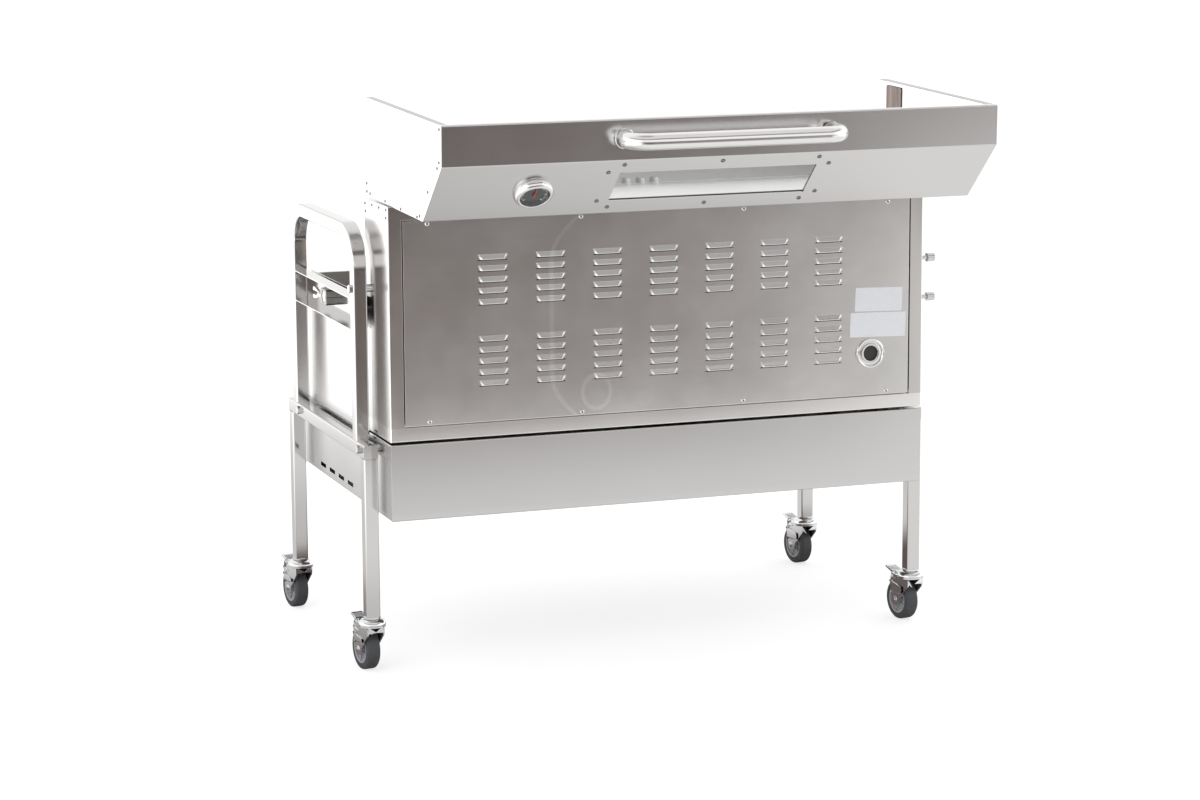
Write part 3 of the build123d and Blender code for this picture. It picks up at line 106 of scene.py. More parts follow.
class Finish:
    """A material or world in the making, with one method for all its nodes."""

    def __init__(self, owner):
        self.owner = owner
        owner.use_nodes = True
        self.tree = owner.node_tree
        self.tree.nodes.clear()

    def node(self, kind, settings=None, inputs=None, output=0):
        made = self.tree.nodes.new("ShaderNode" + kind)
        for name, value in (settings or {}).items():
            if name == "stops":
                ramp = made.color_ramp.elements
                while len(ramp) < len(value):
                    ramp.new(0.5)
                for stop, (place, colour) in zip(ramp, value):
                    stop.position, stop.color = place, (*colour, 1)
            else:
                setattr(made, name, value)
        for name, value in (inputs or {}).items():
            if isinstance(value, Wire):
                self.tree.links.new(value.socket, made.inputs[name])
            else:
                made.inputs[name].default_value = value
        return Wire(self, made.outputs[output]) if made.outputs else None

    def maths(self, operation, first, second=0.0):
        return self.node("Math", {"operation": operation}, {0: first, 1: second})

    def place(self, scale=(1, 1, 1)):
        """Object coordinates, stretched for a pattern."""
        seat = self.node("TexCoord", output="Object")
        return self.node("Mapping", None, {"Vector": seat, "Scale": scale})

    def noise(self, size, detail, roughness=0.5, scale=(1, 1, 1)):
        inputs = {"Vector": self.place(scale), "Scale": size, "Detail": detail, "Roughness": roughness}
        return self.node("TexNoise", None, inputs)

    def tint(self, factor, low, high):
        """Colour between two others."""
        return self.node("ValToRGB", {"stops": [(0.0, low), (1.0, high)]}, {"Fac": factor})

    def bump(self, height, strength, distance, normal=None):
        inputs = {"Height": height, "Strength": strength, "Distance": distance}
        if normal is not None:
            inputs["Normal"] = normal
        return self.node("Bump", None, inputs)

    def shade(self, **sockets):
        """Ends the material in one Principled shader, with socket names written with underscores."""
        named = {name.replace("_", " "): value for name, value in sockets.items()}
        shader = self.node("BsdfPrincipled", None, named)
        self.node("OutputMaterial", None, {"Surface": shader})
        return self.owner


def new_finish(name):
    return Finish(bpy.data.materials.new(name))


def grey(value, warm):
    """Grey that leans towards red, or towards blue where warm is below zero."""
    return (value * (1 + warm), value, value * (1 - warm))


# Which way a sheet's grain runs, as the stretch of its noise. A turned piece has it alike in all directions.
GRAIN_X = (6, 900, 900)
GRAIN_Z = (900, 900, 6)
GRAIN_Y = (900, 6, 900)
TURNED = (300, 300, 300)


def wipe_marks(finish):
    """Faint dried marks on the louvred panel: a line that bends away at both ends, and a ring below it."""
    seat = finish.node("TexCoord", output="Object")
    x, z = (finish.node("SeparateXYZ", None, {0: seat}, output=i) for i in (0, 2))
    bend = finish.maths("MAXIMUM", (z - 0.62).size() - 0.10, 0.0)
    line = 1 - (x + 0.207 - bend * bend * 8.5).size().step(0.002, 0.007)
    across, upright = (x + 0.125) / 0.026, (z - 0.487) / 0.030
    ring = 1 - (across * across + upright * upright - 1).size().step(0.1, 0.4)
    return finish.maths("MAXIMUM", line, ring) * 0.42


def painted_frame_reflection(finish):
    """Painted reflection on the housing's frame: a lighter strip under the louvred panel, and a darker one at
    its right.
    """
    seat = finish.node("TexCoord", output="Object")
    x, z = (finish.node("SeparateXYZ", None, {0: seat}, output=i) for i in (0, 2))
    return 1 - z.step(0.4440, 0.4452) - x.step(0.4745, 0.4755) * z.step(0.4440, 0.4452) * 0.6


def steel(name, tone, roughness, grain, blotch, grain_depth=0.00002, wave=0.0, warm=0.01, blotch_size=9.0,
          marks=None):
    """Rolled steel: fine grain along the sheet, cloudy roughness, and a slow wave that bends reflections.
    Marks is a function that adds its own lighter or darker places: real marks on the louvred panel, painted
    reflection on the housing's frame."""
    finish = new_finish(name)
    streaks = finish.noise(1.0, 2.0, scale=grain)
    clouds = finish.noise(blotch_size, 4.0, 0.6)
    stains = finish.noise(blotch_size * 3.1, 5.0, 0.7)
    cloudy = clouds * 0.7 + stains * 0.3
    if marks:
        # The marks join the cloudy tone here, with painted reflection among them on the housing.
        cloudy = cloudy + marks(finish)
    colour = finish.tint(cloudy, grey(tone * (1 - blotch), warm), grey(tone * (1 + blotch), warm / 2))
    spread = roughness * 0.75 + clouds * (roughness * 0.3) + streaks * (roughness * 0.2)
    normal = finish.bump(streaks, 0.35, grain_depth)
    if wave:
        normal = finish.bump(finish.noise(4.0, 1.0, 0.4), 1.0, wave, normal)
    return finish.shade(Base_Color=colour, Metallic=1.0, Roughness=spread, Normal=normal)


def paint(name, low, high, roughness, pore=0.00002, **sockets):
    """Moulded or coated surface: two close colours in clouds over a fine pored bump."""
    finish = new_finish(name)
    clouds = finish.noise(60.0, 4.0, 0.6)
    pores = finish.noise(840.0, 3.0, 0.6)
    colour = finish.tint(clouds, low, high)
    spread = roughness * 0.8 + pores * (roughness * 0.4)
    normal = finish.bump(pores, 0.5, pore)
    return finish.shade(Base_Color=colour, Roughness=spread, Normal=normal, **sockets)


satin_panel = steel("satin_rolled_sheet", 0.63, 0.22, GRAIN_X, 0.16, wave=0.0012, warm=0.02, marks=wipe_marks)
# The housing sheet carries painted reflection on its frame: a lighter lower strip and a darker right one.
housing_steel = steel("housing_sheet", 0.68, 0.16, GRAIN_X, 0.16, wave=0.0003, warm=0.03, marks=painted_frame_reflection)
hood_steel = steel("brushed_hood_sheet", 0.62, 0.20, GRAIN_X, 0.03, wave=0.0004)
side_steel = steel("bright_side_sheet", 0.66, 0.12, GRAIN_Y, 0.03, wave=0.0004)
box_steel = steel("bright_skirt_sheet", 0.62, 0.22, GRAIN_X, 0.04, wave=0.0006)
inner_steel = steel("inner_sheet", 0.55, 0.3, GRAIN_X, 0.08, wave=0.0006)
# Brighter, rougher sheet for the roof's inside: its light tone is painted light from above. The hinge nuts
# share it.
lining_steel = steel("lining_painted_light", 0.82, 0.45, GRAIN_X, 0.04)
tube_steel = steel("polished_tube", 0.60, 0.11, GRAIN_Z, 0.04, wave=0.0003, warm=0.02)
handle_steel = steel("handle_tube", 0.76, 0.17, GRAIN_X, 0.03)
# Darkened steel as painted shade: rivets, the hood's screw heads and the sockets of the housing's screws.
screw_steel = steel("darkened_steel_painted_shade", 0.20, 0.25, TURNED, 0.05, blotch_size=60.0)
# Darker steel for the hood's folded rims: painted shade for the grey line along them.
rim_steel = steel("folded_rim_painted_shade", 0.34, 0.25, GRAIN_Y, 0.05)
end_steel = steel("bright_end_wall", 0.80, 0.2, GRAIN_Y, 0.03, wave=0.0004)
bright_steel = steel("turned_steel", 0.72, 0.14, TURNED, 0.05, blotch_size=60.0)
zinc = steel("bright_zinc", 0.74, 0.13, (200, 200, 200), 0.08, 0.00004, warm=-0.015, blotch_size=45.0)
chrome = steel("chrome", 0.72, 0.05, (100, 100, 100), 0.02, 0.000004, blotch_size=30.0)
gear_steel = steel("oiled_gear_steel", 0.34, 0.32, (250, 250, 250), 0.15, warm=0.03, blotch_size=50.0)

# Cheek plates inside the hood ends, dark with brown streaks that are painted reflection.
cheek_steel = new_finish("cheek_plate_painted_reflection")
stripes = cheek_steel.noise(1.0, 4.0, 0.6, scale=(1, 70, 5))
cheek_steel = cheek_steel.shade(
    Base_Color=cheek_steel.tint(stripes.step(0.25, 0.75), (0.11, 0.08, 0.065), (0.36, 0.29, 0.25)),
    Metallic=0.6,
    Roughness=0.3 + stripes * 0.2,
)

brass = new_finish("brass")
brass_cloud = brass.noise(40.0, 4.0, 0.6)
brass = brass.shade(
    Base_Color=brass.tint(brass_cloud, (0.50, 0.33, 0.12), (0.68, 0.48, 0.20)),
    Metallic=1.0,
    Roughness=0.2 + brass_cloud * 0.15,
)
black_plastic = paint("black_moulding", (0.018, 0.018, 0.019), (0.03, 0.03, 0.031), 0.42)
tread_rubber = paint("grey_tread", (0.040, 0.042, 0.046), (0.075, 0.077, 0.082), 0.62, pore=0.00006)
hub_plastic = paint("hub_moulding", (0.30, 0.31, 0.33), (0.40, 0.41, 0.43), 0.38)
plate_white = paint("white_plate", (0.78, 0.79, 0.82), (0.85, 0.86, 0.89), 0.35)
pointer_red = paint("red_pointer", (0.45, 0.02, 0.025), (0.60, 0.035, 0.035), 0.35)
mark_white = paint("white_mark", (0.75, 0.76, 0.72), (0.82, 0.83, 0.80), 0.4)
dial_dark = paint("dark_dial", (0.02, 0.021, 0.024), (0.034, 0.036, 0.04), 0.35, Coat_Weight=0.4)

# Perforated tile: the dark brown centres of its holes are painted shade in them.
ceramic = new_finish("perforated_ceramic")
holes = ceramic.node("TexVoronoi", {"feature": "F1"}, {"Vector": ceramic.place(), "Scale": 260.0})
pit = holes.step(0.12, 0.28)
ceramic = ceramic.shade(
    Base_Color=ceramic.tint(pit, (0.10, 0.06, 0.04), (0.80, 0.70, 0.58)),
    Roughness=0.85 - pit * 0.1,
    Normal=ceramic.bump(pit, 0.8, 0.001),
)


def clear(name, bending):
    """Clear pane with faint smears; bending sets how strongly it mirrors."""
    finish = new_finish(name)
    smears = finish.noise(14.0, 5.0, 0.7)
    return finish.shade(
        Base_Color=finish.tint(smears, (0.96, 0.985, 0.97), (0.985, 1.0, 0.99)),
        Roughness=0.005 + smears * 0.015,
        Transmission_Weight=1.0,
        IOR=bending,
    )


pane_glass = clear("window_glass", 1.3)
lens_glass = clear("lens_glass", 1.15)


def unit(vectors):
    """Vectors divided by their own length; one of no length stays as it is."""
    size = np.linalg.norm(vectors, axis=-1, keepdims=True)
    return vectors / np.where(size > 1e-9, size, 1.0)


def rounded(corners, radius, steps, closed=True):
    """Corner points with an arc in each corner. The arc's centre lies on the bisector, radius / cos(half the
    turn) from the corner, and its points swing evenly from one tangent point to the other."""
    corners = np.asarray(corners, float)
    radius = np.broadcast_to(np.asarray(radius, float), len(corners)).copy()
    if not closed:
        radius[[0, -1]] = 0.0
    back = unit(np.roll(corners, 1, axis=0) - corners)
    ahead = unit(np.roll(corners, -1, axis=0) - corners)
    turn = np.maximum(pi - np.arccos(np.clip((back * ahead).sum(1), -1, 1)), 1e-5)
    reach = (radius * np.tan(np.minimum(turn, 3.0) / 2))[:, None]
    centre = corners + unit(back + ahead) * (radius / np.cos(np.minimum(turn, 3.0) / 2))[:, None]
    first, last = corners + back * reach - centre, corners + ahead * reach - centre
    share = np.linspace(0, 1, steps + 1)[None, :, None]
    swing = turn[:, None, None]
    arcs = np.sin((1 - share) * swing) * first[:, None] + np.sin(share * swing) * last[:, None]
    points = (centre[:, None] + arcs / np.sin(swing)).reshape(-1, corners.shape[1])
    moved = np.linalg.norm(points - np.roll(points, 1, axis=0), axis=1) > 1e-4
    if not closed:
        moved[0] = True
    return points[moved]


def grid(points, wrap_rows=False, wrap_columns=False, caps=False, gaps=None):
    """Quads between neighbouring rows and columns of points: wrapped where the grid closes on itself, left
    out where gaps says so, with the first and last rows as caps."""
    points = np.asarray(points, float)
    index = np.arange(points.shape[0] * points.shape[1]).reshape(points.shape[:2])
    rims = [index[:1, ::-1], index[-1:]] if caps else []
    if wrap_rows:
        index = np.vstack([index, index[:1]])
    if wrap_columns:
        index = np.hstack([index, index[:, :1]])
    quads = np.stack([index[:-1, :-1], index[1:, :-1], index[1:, 1:], index[:-1, 1:]], axis=-1)
    quads = quads.reshape(-1, 4) if gaps is None else quads[~gaps]
    return points.reshape(-1, 3), [quads, *rims]


def carried(section, path, up, closed=False):
    """A section of (across, rise) points carried along a flat path. Across is left of the run, averaged
    between two runs and lengthened by 1 / cos(half the turn) at a corner, and rise is along up."""
    section, path = np.asarray(section, float), np.asarray(path, float)
    up = unit(np.asarray(up, float))
    run = unit(np.roll(path, -1, axis=0) - path)
    before = np.roll(run, 1, axis=0)
    if not closed:
        run[-1] = run[-2]
        before[0] = run[0]
    left, left_before = np.cross(up, run), np.cross(up, before)
    mitre = (left + left_before) / (1 + (left * left_before).sum(1))[:, None]
    return path[:, None] + section[None, :, :1] * mitre[:, None] + section[None, :, 1:] * up


def turned(profile, centre, axis, steps=48, ring=False):
    """A profile of (radius, height) points turned about an axis: centre + height along it + radius round it.
    A ring's profile closes on itself."""
    profile, centre = np.asarray(profile, float), np.asarray(centre, float)
    axis = unit(np.asarray(axis, float))
    first = unit(np.cross(axis, (0.31, 0.52, 0.79)))
    second = np.cross(axis, first)
    angle = np.linspace(0, 2 * pi, steps, endpoint=False)[None, :, None]
    rim = np.cos(angle) * first + np.sin(angle) * second
    points = centre + profile[:, None, 1:] * axis + profile[:, None, :1] * rim
    return grid(points, wrap_rows=ring, wrap_columns=True)


def slab(outline, origin, across, upright, low, high, edge=0.0):
    """A flat outline given thickness: each height's outline is drawn in by a quarter circle at both rims."""
    outline = np.asarray(outline, float)
    following = np.roll(outline, -1, axis=0)
    if (outline[:, 0] * following[:, 1] - following[:, 0] * outline[:, 1]).sum() < 0:
        outline = outline[::-1]
    across, upright = np.asarray(across, float), np.asarray(upright, float)
    path = np.asarray(origin, float) + outline[:, :1] * across + outline[:, 1:] * upright
    swing = np.linspace(0, pi / 2, 4)
    rim = np.stack([edge * (1 - np.sin(swing)), edge * (1 - np.cos(swing))], axis=1)
    section = [(0, low), (0, high)]
    if edge:
        section = np.vstack([rim + (0, low), rim[::-1] * (1, -1) + (0, high)])
    points = carried(section, path, np.cross(across, upright), closed=True)
    return grid(points.swapaxes(0, 1), wrap_columns=True, caps=True)


def box(x0, x1, y0, y1, z0, z1):
    """A plate between two corners, with rounded edges."""
    edge = 0.5
    outline = rounded([(x0, y0), (x1, y0), (x1, y1), (x0, y1)], edge, 3)
    return slab(outline, (0, 0, 0), (1, 0, 0), (0, 1, 0), z0, z1, edge)


def bar(path, up, section):
    """A closed section carried along an open path, capped at both ends."""
    return grid(carried(section, path, up), wrap_columns=True, caps=True)


def circle(radius, steps):
    angle = np.linspace(0, 2 * pi, steps, endpoint=False)
    return np.stack([radius * np.cos(angle), radius * np.sin(angle)], axis=1)


def rectangle(width, height, radius, centre=(0, 0)):
    x, y = width / 2, height / 2
    return rounded([(-x, -y), (x, -y), (x, y), (-x, y)], radius, 4) + centre


def applied(piece):
    """Writes a piece's modifiers into its mesh."""
    view = bpy.context.evaluated_depsgraph_get()
    mesh = bpy.data.meshes.new_from_object(piece.evaluated_get(view))
    piece.modifiers.clear()
    piece.data = mesh
    return mesh


def make(name, shapes, body, finish, replaces=(), wall=0.0, edge=0.0, crease=32, turn_out=True):
    """One piece from its shapes. Doubles are merged and faces turned outwards, an open sheet gets its wall to
    the inside, edges are rounded, and the normals lean towards the large faces."""
    starts = np.cumsum([0] + [len(points) for points, faces in shapes])
    polygons = [face + start for (points, faces), start in zip(shapes, starts) for face in faces]
    corners = np.concatenate([polygon.reshape(-1) for polygon in polygons])
    sides = np.concatenate([np.full(len(polygon), polygon.shape[1]) for polygon in polygons])
    mesh = bpy.data.meshes.new(name)
    mesh.vertices.add(starts[-1])
    mesh.vertices.foreach_set("co", (np.concatenate([points for points, faces in shapes]) * MM).ravel())
    mesh.loops.add(len(corners))
    mesh.loops.foreach_set("vertex_index", corners.astype(np.int32))
    mesh.polygons.add(len(sides))
    mesh.polygons.foreach_set("loop_start", np.concatenate([[0], np.cumsum(sides)[:-1]]).astype(np.int32))
    mesh.update(calc_edges=True)
    mesh.validate()
    work = bmesh.new()
    work.from_mesh(mesh)
    bmesh.ops.remove_doubles(work, verts=work.verts, dist=0.000004)
    if turn_out:
        bmesh.ops.recalc_face_normals(work, faces=work.faces)
    work.to_mesh(mesh)
    work.free()
    piece = bpy.data.objects.new(name, mesh)
    bpy.context.scene.collection.objects.link(piece)
    if wall:
        thick = piece.modifiers.new("wall", "SOLIDIFY")
        thick.thickness, thick.offset, thick.use_even_offset = wall * MM, -1, True
    if edge:
        soft = piece.modifiers.new("edge", "BEVEL")
        soft.width, soft.segments, soft.limit_method = edge * MM, 2, "ANGLE"
        soft.angle_limit = radians(40)
    mesh = applied(piece)
    mesh.polygons.foreach_set("use_smooth", np.ones(len(mesh.polygons), bool))
    mesh.set_sharp_from_angle(angle=radians(crease))
    lean = piece.modifiers.new("lean", "WEIGHTED_NORMAL")
    lean.keep_sharp = True
    mesh = applied(piece)
    mesh.materials.clear()
    mesh.materials.append(finish)
    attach(piece, body)
    if replaces:
        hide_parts(*replaces)
    return piece


# Camera, fitted to the straight edges of the photograph
def aim():
    """Camera whose view runs along (sin yaw cos pitch, cos yaw cos pitch, -sin pitch), rolled about it."""
    yaw, pitch, roll = 0.34346997, 0.17721369, 0.0051588
    view = np.array([sin(yaw) * cos(pitch), cos(yaw) * cos(pitch), -sin(pitch)])
    level = np.array([cos(yaw), -sin(yaw), 0.0])
    down = np.cross(view, level)
    right = cos(roll) * level + sin(roll) * down
    under = -sin(roll) * level + cos(roll) * down
    camera = bpy.data.objects.new("camera", bpy.data.cameras.new("camera"))
    camera.data.lens, camera.data.sensor_width = 98.248, 36.0
    camera.data.clip_end = 100.0
    placed = np.eye(4)
    placed[:3, 0], placed[:3, 1], placed[:3, 2] = right, -under, -view
    placed[:3, 3] = (-2.0202, -5.6387, 1.4826)
    camera.matrix_world = Matrix(placed.tolist())
    bpy.context.scene.collection.objects.link(camera)
    bpy.context.scene.camera = camera


aim()


# Studio: a white floor whose mirror image runs from bright near the machine to dark towards the camera
def light_studio():
    world = bpy.data.worlds.new("studio")
    bpy.context.scene.world = world
    air = Finish(world)
    way = air.node("TexCoord", output="Generated")
    x, y, z = (air.node("SeparateXYZ", None, {0: way}, output=i) for i in range(3))
    side = x.size().step(0.5, 0.9) * (1 - z.step(0.25, 0.75))
    band = z.step(0.47, 0.55) * (1 - z.step(0.64, 0.72))
    front = 0.3 + z.step(-0.03, 0.1) * 0.85 - band * 0.88 - z.step(0.6, 0.75) * 0.25
    front = front - z.step(0.92, 0.97) * 0.5
    level = front + side * 0.9 + y.step(-0.2, 0.5) * (1.15 - front)
    warm_dark = [(0.0, (0, 0, 0)), (0.1, (0.115, 0.094, 0.09)), (0.2, (0.21, 0.196, 0.19)),
                 (0.5, (0.5, 0.497, 0.494)), (1.0, (1, 1, 1))]
    shade = air.node("ValToRGB", {"stops": warm_dark}, {"Fac": level * 0.5})
    seen = air.node("Background", None, {"Color": shade, "Strength": 2.0})
    plain = air.node("Background", None, {"Color": (1, 1, 1, 1), "Strength": 0.82})
    white = air.node("Background", None, {"Color": (1, 1, 1, 1), "Strength": 1.1})
    rays = air.node("LightPath", output="Is Glossy Ray")
    first = air.node("MixShader", None, {0: rays, 1: plain, 2: seen})
    camera_ray = air.node("LightPath", output="Is Camera Ray")
    clear_ray = air.node("LightPath", output="Is Transmission Ray")
    through = air.maths("MAXIMUM", camera_ray, clear_ray)
    all_rays = air.node("MixShader", None, {0: through, 1: first, 2: white})
    air.node("OutputWorld", None, {"Surface": all_rays})

    ground = new_finish("studio_floor")
    place = ground.node("TexCoord", output="Object")
    gx, gy = (ground.node("SeparateXYZ", None, {0: place}, output=i) for i in range(2))
    lean = gx + (gy + 2.7) * 0.4
    far = 0.22 + lean.step(-0.5, 1.2) * 0.14 + lean.step(1.0, 2.0) * 0.8
    far = far * (0.4 + gy.step(-7.2, -5.6) * 0.6)
    near = gy.step(-2.5, -2.05)
    left_lobe = (0 - gx).step(0.8, 1.8) * (gy * 0.55 - gx + 1.2).step(0.8, 1.8) * 1.1
    right_lobe = gx.step(2.8, 4.0) * gy.step(-3.5, -2.0) * 1.2
    level = far + near * (1.05 - far) + (left_lobe + right_lobe) + (gy - gx).step(2.2, 4.6) * 0.6
    # Painted shadows in the floor's mirror image: darker beside the machine and dark under it, where its shade
    # falls.
    shadow = gy.step(-1.2, -0.6) * (1 - gx.step(-0.6, 0.9)) * 0.25
    below = gy.step(-0.34, -0.2) * (1 - gy.step(0.3, 0.6)) * (1 - gx.size().step(0.5, 0.9)) * 0.85
    level = level * (1 - shadow) * (1 - below)
    shade = ground.node("ValToRGB", {"stops": warm_dark}, {"Fac": level * 0.5})
    glow = ground.node("Emission", None, {"Color": shade, "Strength": 2.0})
    matt = ground.node("BsdfDiffuse", None, {"Color": (1.0, 1.0, 1.0, 1)})
    lift = ground.node("Emission", None, {"Color": (1, 1, 1, 1), "Strength": 1.3})
    direct = ground.node("LightPath", output="Is Camera Ray")
    shown = ground.node("MixShader", None, {0: direct * 0.55, 1: matt, 2: lift})
    glossy = ground.node("LightPath", output="Is Glossy Ray")
    surface = ground.node("MixShader", None, {0: glossy, 1: shown, 2: glow})
    ground.node("OutputMaterial", None, {"Surface": surface})
    mesh = bpy.data.meshes.new("floor")
    mesh.from_pydata([(-15, -15, 0), (15, -15, 0), (15, 15, 0), (-15, 15, 0)], [], [(0, 1, 2, 3)])
    mesh.materials.append(ground.owner)
    floor = bpy.data.objects.new("floor", mesh)
    bpy.context.scene.collection.objects.link(floor)

    for name, place, target, size, watts in (
        ("key_light", (-3.2, -2.6, 3.4), (0, 0, 0.5), 2.6, 46),
        ("fill_light", (3.4, 2.8, 3.0), (0, 0, 0.5), 2.6, 26),
    ):
        lamp = bpy.data.lights.new(name, "AREA")
        lamp.size, lamp.energy = size, watts
        holder = bpy.data.objects.new(name, lamp)
        towards = unit(np.array(place, float) - np.array(target, float))
        side = unit(np.cross((0, 0, 1), towards))
        placed = np.eye(4)
        placed[:3, 0], placed[:3, 1] = side, np.cross(towards, side)
        placed[:3, 2], placed[:3, 3] = towards, place
        holder.matrix_world = Matrix(placed.tolist())
        holder.visible_glossy = False
        bpy.context.scene.collection.objects.link(holder)
    bpy.context.scene.view_settings.view_transform = "Standard"


light_studio()


# Trolley: side frames and push loops of square tube
def square_tube():
    return rectangle(TUBE, TUBE, 3.0)


def make_trolley():
    shapes = []
    for side in (-1, 1):
        x = side * TUBE_X
        for y in (-LEG_Y, LEG_Y):
            leg = [(x, y, LEG_FOOT_Z), (x, y, RAIL_TOP_Z - TUBE + 0.5)]
            shapes.append(bar(leg, (0, 1, 0), square_tube()))
        end, z = LEG_Y + TUBE / 2, RAIL_TOP_Z - TUBE / 2
        shapes.append(bar([(x, -end, z), (x, end, z)], (0, 0, 1), square_tube()))
    make("side_frames", shapes, "cabinet", tube_steel, ["trolley_side_frames"], crease=40)
    shapes = []
    for side in (-1, 1):
        x = side * TUBE_X
        corners = [
            (x, LOOP_REAR_Y, RAIL_TOP_Z),
            (x, LOOP_REAR_Y, LOOP_AXIS_Z),
            (x, LOOP_FRONT_Y, LOOP_AXIS_Z),
            (x, LOOP_FRONT_Y, RAIL_TOP_Z),
        ]
        shapes.append(bar(rounded(corners, LOOP_BEND, 20, closed=False), (1, 0, 0), square_tube()))
    make("push_loop_tubes", shapes, "cabinet", tube_steel, ["push_loops"], crease=40)


# Castors, in a frame of their own: across the wheel, along its trail and up
def castor(name, side_x, side_y):
    swing = radians(8.0)
    foot = np.array([side_x * TUBE_X, side_y * LEG_Y, 0.0])
    across = np.array([cos(swing), sin(swing), 0.0])
    trail = np.array([-sin(swing), cos(swing), 0.0])
    up = np.array([0.0, 0.0, 1.0])

    def at(points):
        """Places (across, trail, up) in the model's frame."""
        points = np.asarray(points, float)
        return foot + points[..., :1] * across + points[..., 1:2] * trail + points[..., 2:] * up

    axle = at((0, 27.0, 37.5))
    chain = rounded(
        [(-17, 86), (-17, 70), (10, 44), (16.5, 27), (37.5, 27), (38.5, 46), (37, 86)],
        [0, 9, 12, 10, 10, 30, 0], 6, closed=False,
    )
    rise = np.linspace(0, 1, 7)[:, None]
    arch = rounded([(-16.5, 0), (-16.5, 5), (16.5, 5), (16.5, 0)], 4.5, 6, closed=False)
    top = np.stack(np.broadcast_arrays(arch[None, :, 0], chain[:, None, 0], arch[None, :, 1] + 84), axis=-1)
    legs = chain[:, 1:2] + rise[None, :, 0] * (84 - chain[:, 1:2])
    near = np.stack(np.broadcast_arrays(-16.5, chain[:, None, 0], legs), axis=-1)
    far = near[:, ::-1] * (-1, 1, 1)
    skin = np.concatenate([near[:, :-1], top, far[:, 1:]], axis=1)
    make(f"castor_{name}_fork", [grid(at(skin).swapaxes(0, 1))], f"castor_fork_{name}", zinc,
         [f"castor_fork_{name}"], wall=2.5, edge=0.5, turn_out=False)
    head = [(0, 96.7), (13, 96.7), (17.5, 96.0), (21.0, 94.0), (23.2, 91.2), (24, 88.6), (24, 87.4),
            (22.6, 86.9), (22.6, 86.3), (24, 85.8), (24, 83.4), (22, 82.4), (8, 82.0), (0, 82.0)]
    nub = [(0, -3.0), (6.5, -3.0), (6.5, -1.0), (5.6, 0.4), (2.6, 0.9), (2.6, 2.6), (0, 2.6)]
    shapes = [turned(head, foot, up)]
    for step, (b, z) in product((-1, 1), ((27.0, 37.5), (31.0, 86.0))):
        size = 1.0 if z < 50 else 0.5
        shapes.append(turned(np.array(nub) * (size, 1), at((step * 16.9, b, z)), step * across, 24))
    make(f"castor_{name}_swivel", shapes, f"castor_fork_{name}", zinc, crease=28)
    tread = [(26, -12), (33, -12), (35.2, -11.4), (36.7, -10), (37.4, -8), (37.5, -5), (37.5, 5), (37.4, 8),
             (36.7, 10), (35.2, 11.4), (33, 12), (26, 12)]
    make(f"castor_{name}_tread", [turned(tread, axle, across, 64, ring=True)], f"castor_wheel_{name}",
         tread_rubber, [f"castor_wheel_{name}"])
    half = [(0, 11.6), (7.4, 11.6), (9, 10.6), (9.4, 7.4), (20.5, 7.0), (22.4, 8.2), (23.2, 11.4), (24.4, 12),
            (26.2, 12)]
    hub = half + [(r, -h) for r, h in half[::-1]]
    spokes = []
    for i, step in product(range(5), (-1, 1)):
        angle = 2 * pi * i / 5
        out = cos(angle) * trail + sin(angle) * up
        spokes.append(slab(rectangle(15, 3.2, 1.0, (15.5, 0)), axle, out, np.cross(step * across, out),
                           6.6, 9.6, 0.6))
    make(f"castor_{name}_hub", [turned(hub, axle, across, 64), *spokes], f"castor_wheel_{name}", hub_plastic)
    tip = rounded([(31, 82), (41, 82), (69, 91), (69, 94.5), (41, 87), (31, 86)], [0.5, 3, 1, 1, 4, 0.5], 4)
    plate = slab(tip, foot, trail, up, -11, 11, 0.8)
    barrel = turned([(0, -13.6), (4.4, -13.6), (5, -13), (5, 13), (4.4, 13.6), (0, 13.6)],
                    at((0, 31.0, 86.0)), across, 24)
    ribs = [slab(rounded([(b, 88), (b + 1.8, 88), (b + 1.8, h), (b, h)], 0.5, 3), foot, trail, up, -9, 9, 0.4)
            for b, h in ((50, 90.9), (55, 92.2), (60, 93.4))]
    make(f"castor_{name}_pedal", [plate, barrel, *ribs], f"castor_pedal_{name}", zinc,
         [f"castor_pedal_{name}"])


# Lower box and front panel
def sheet_with_holes(us, vs, holes, seat):
    """A flat sheet on lines u and v, open inside each hole of (u0, u1, v0, v1); seat turns (u, v) into a
    place."""
    u, v = np.meshgrid(us, vs, indexing="ij")
    middle_u, middle_v = np.meshgrid((us[1:] + us[:-1]) / 2, (vs[1:] + vs[:-1]) / 2, indexing="ij")
    gaps = np.zeros(middle_u.shape, bool)
    for u0, u1, v0, v1 in holes:
        gaps |= (middle_u > u0) & (middle_u < u1) & (middle_v > v0) & (middle_v < v1)
    return grid(seat(u, v), gaps=gaps)


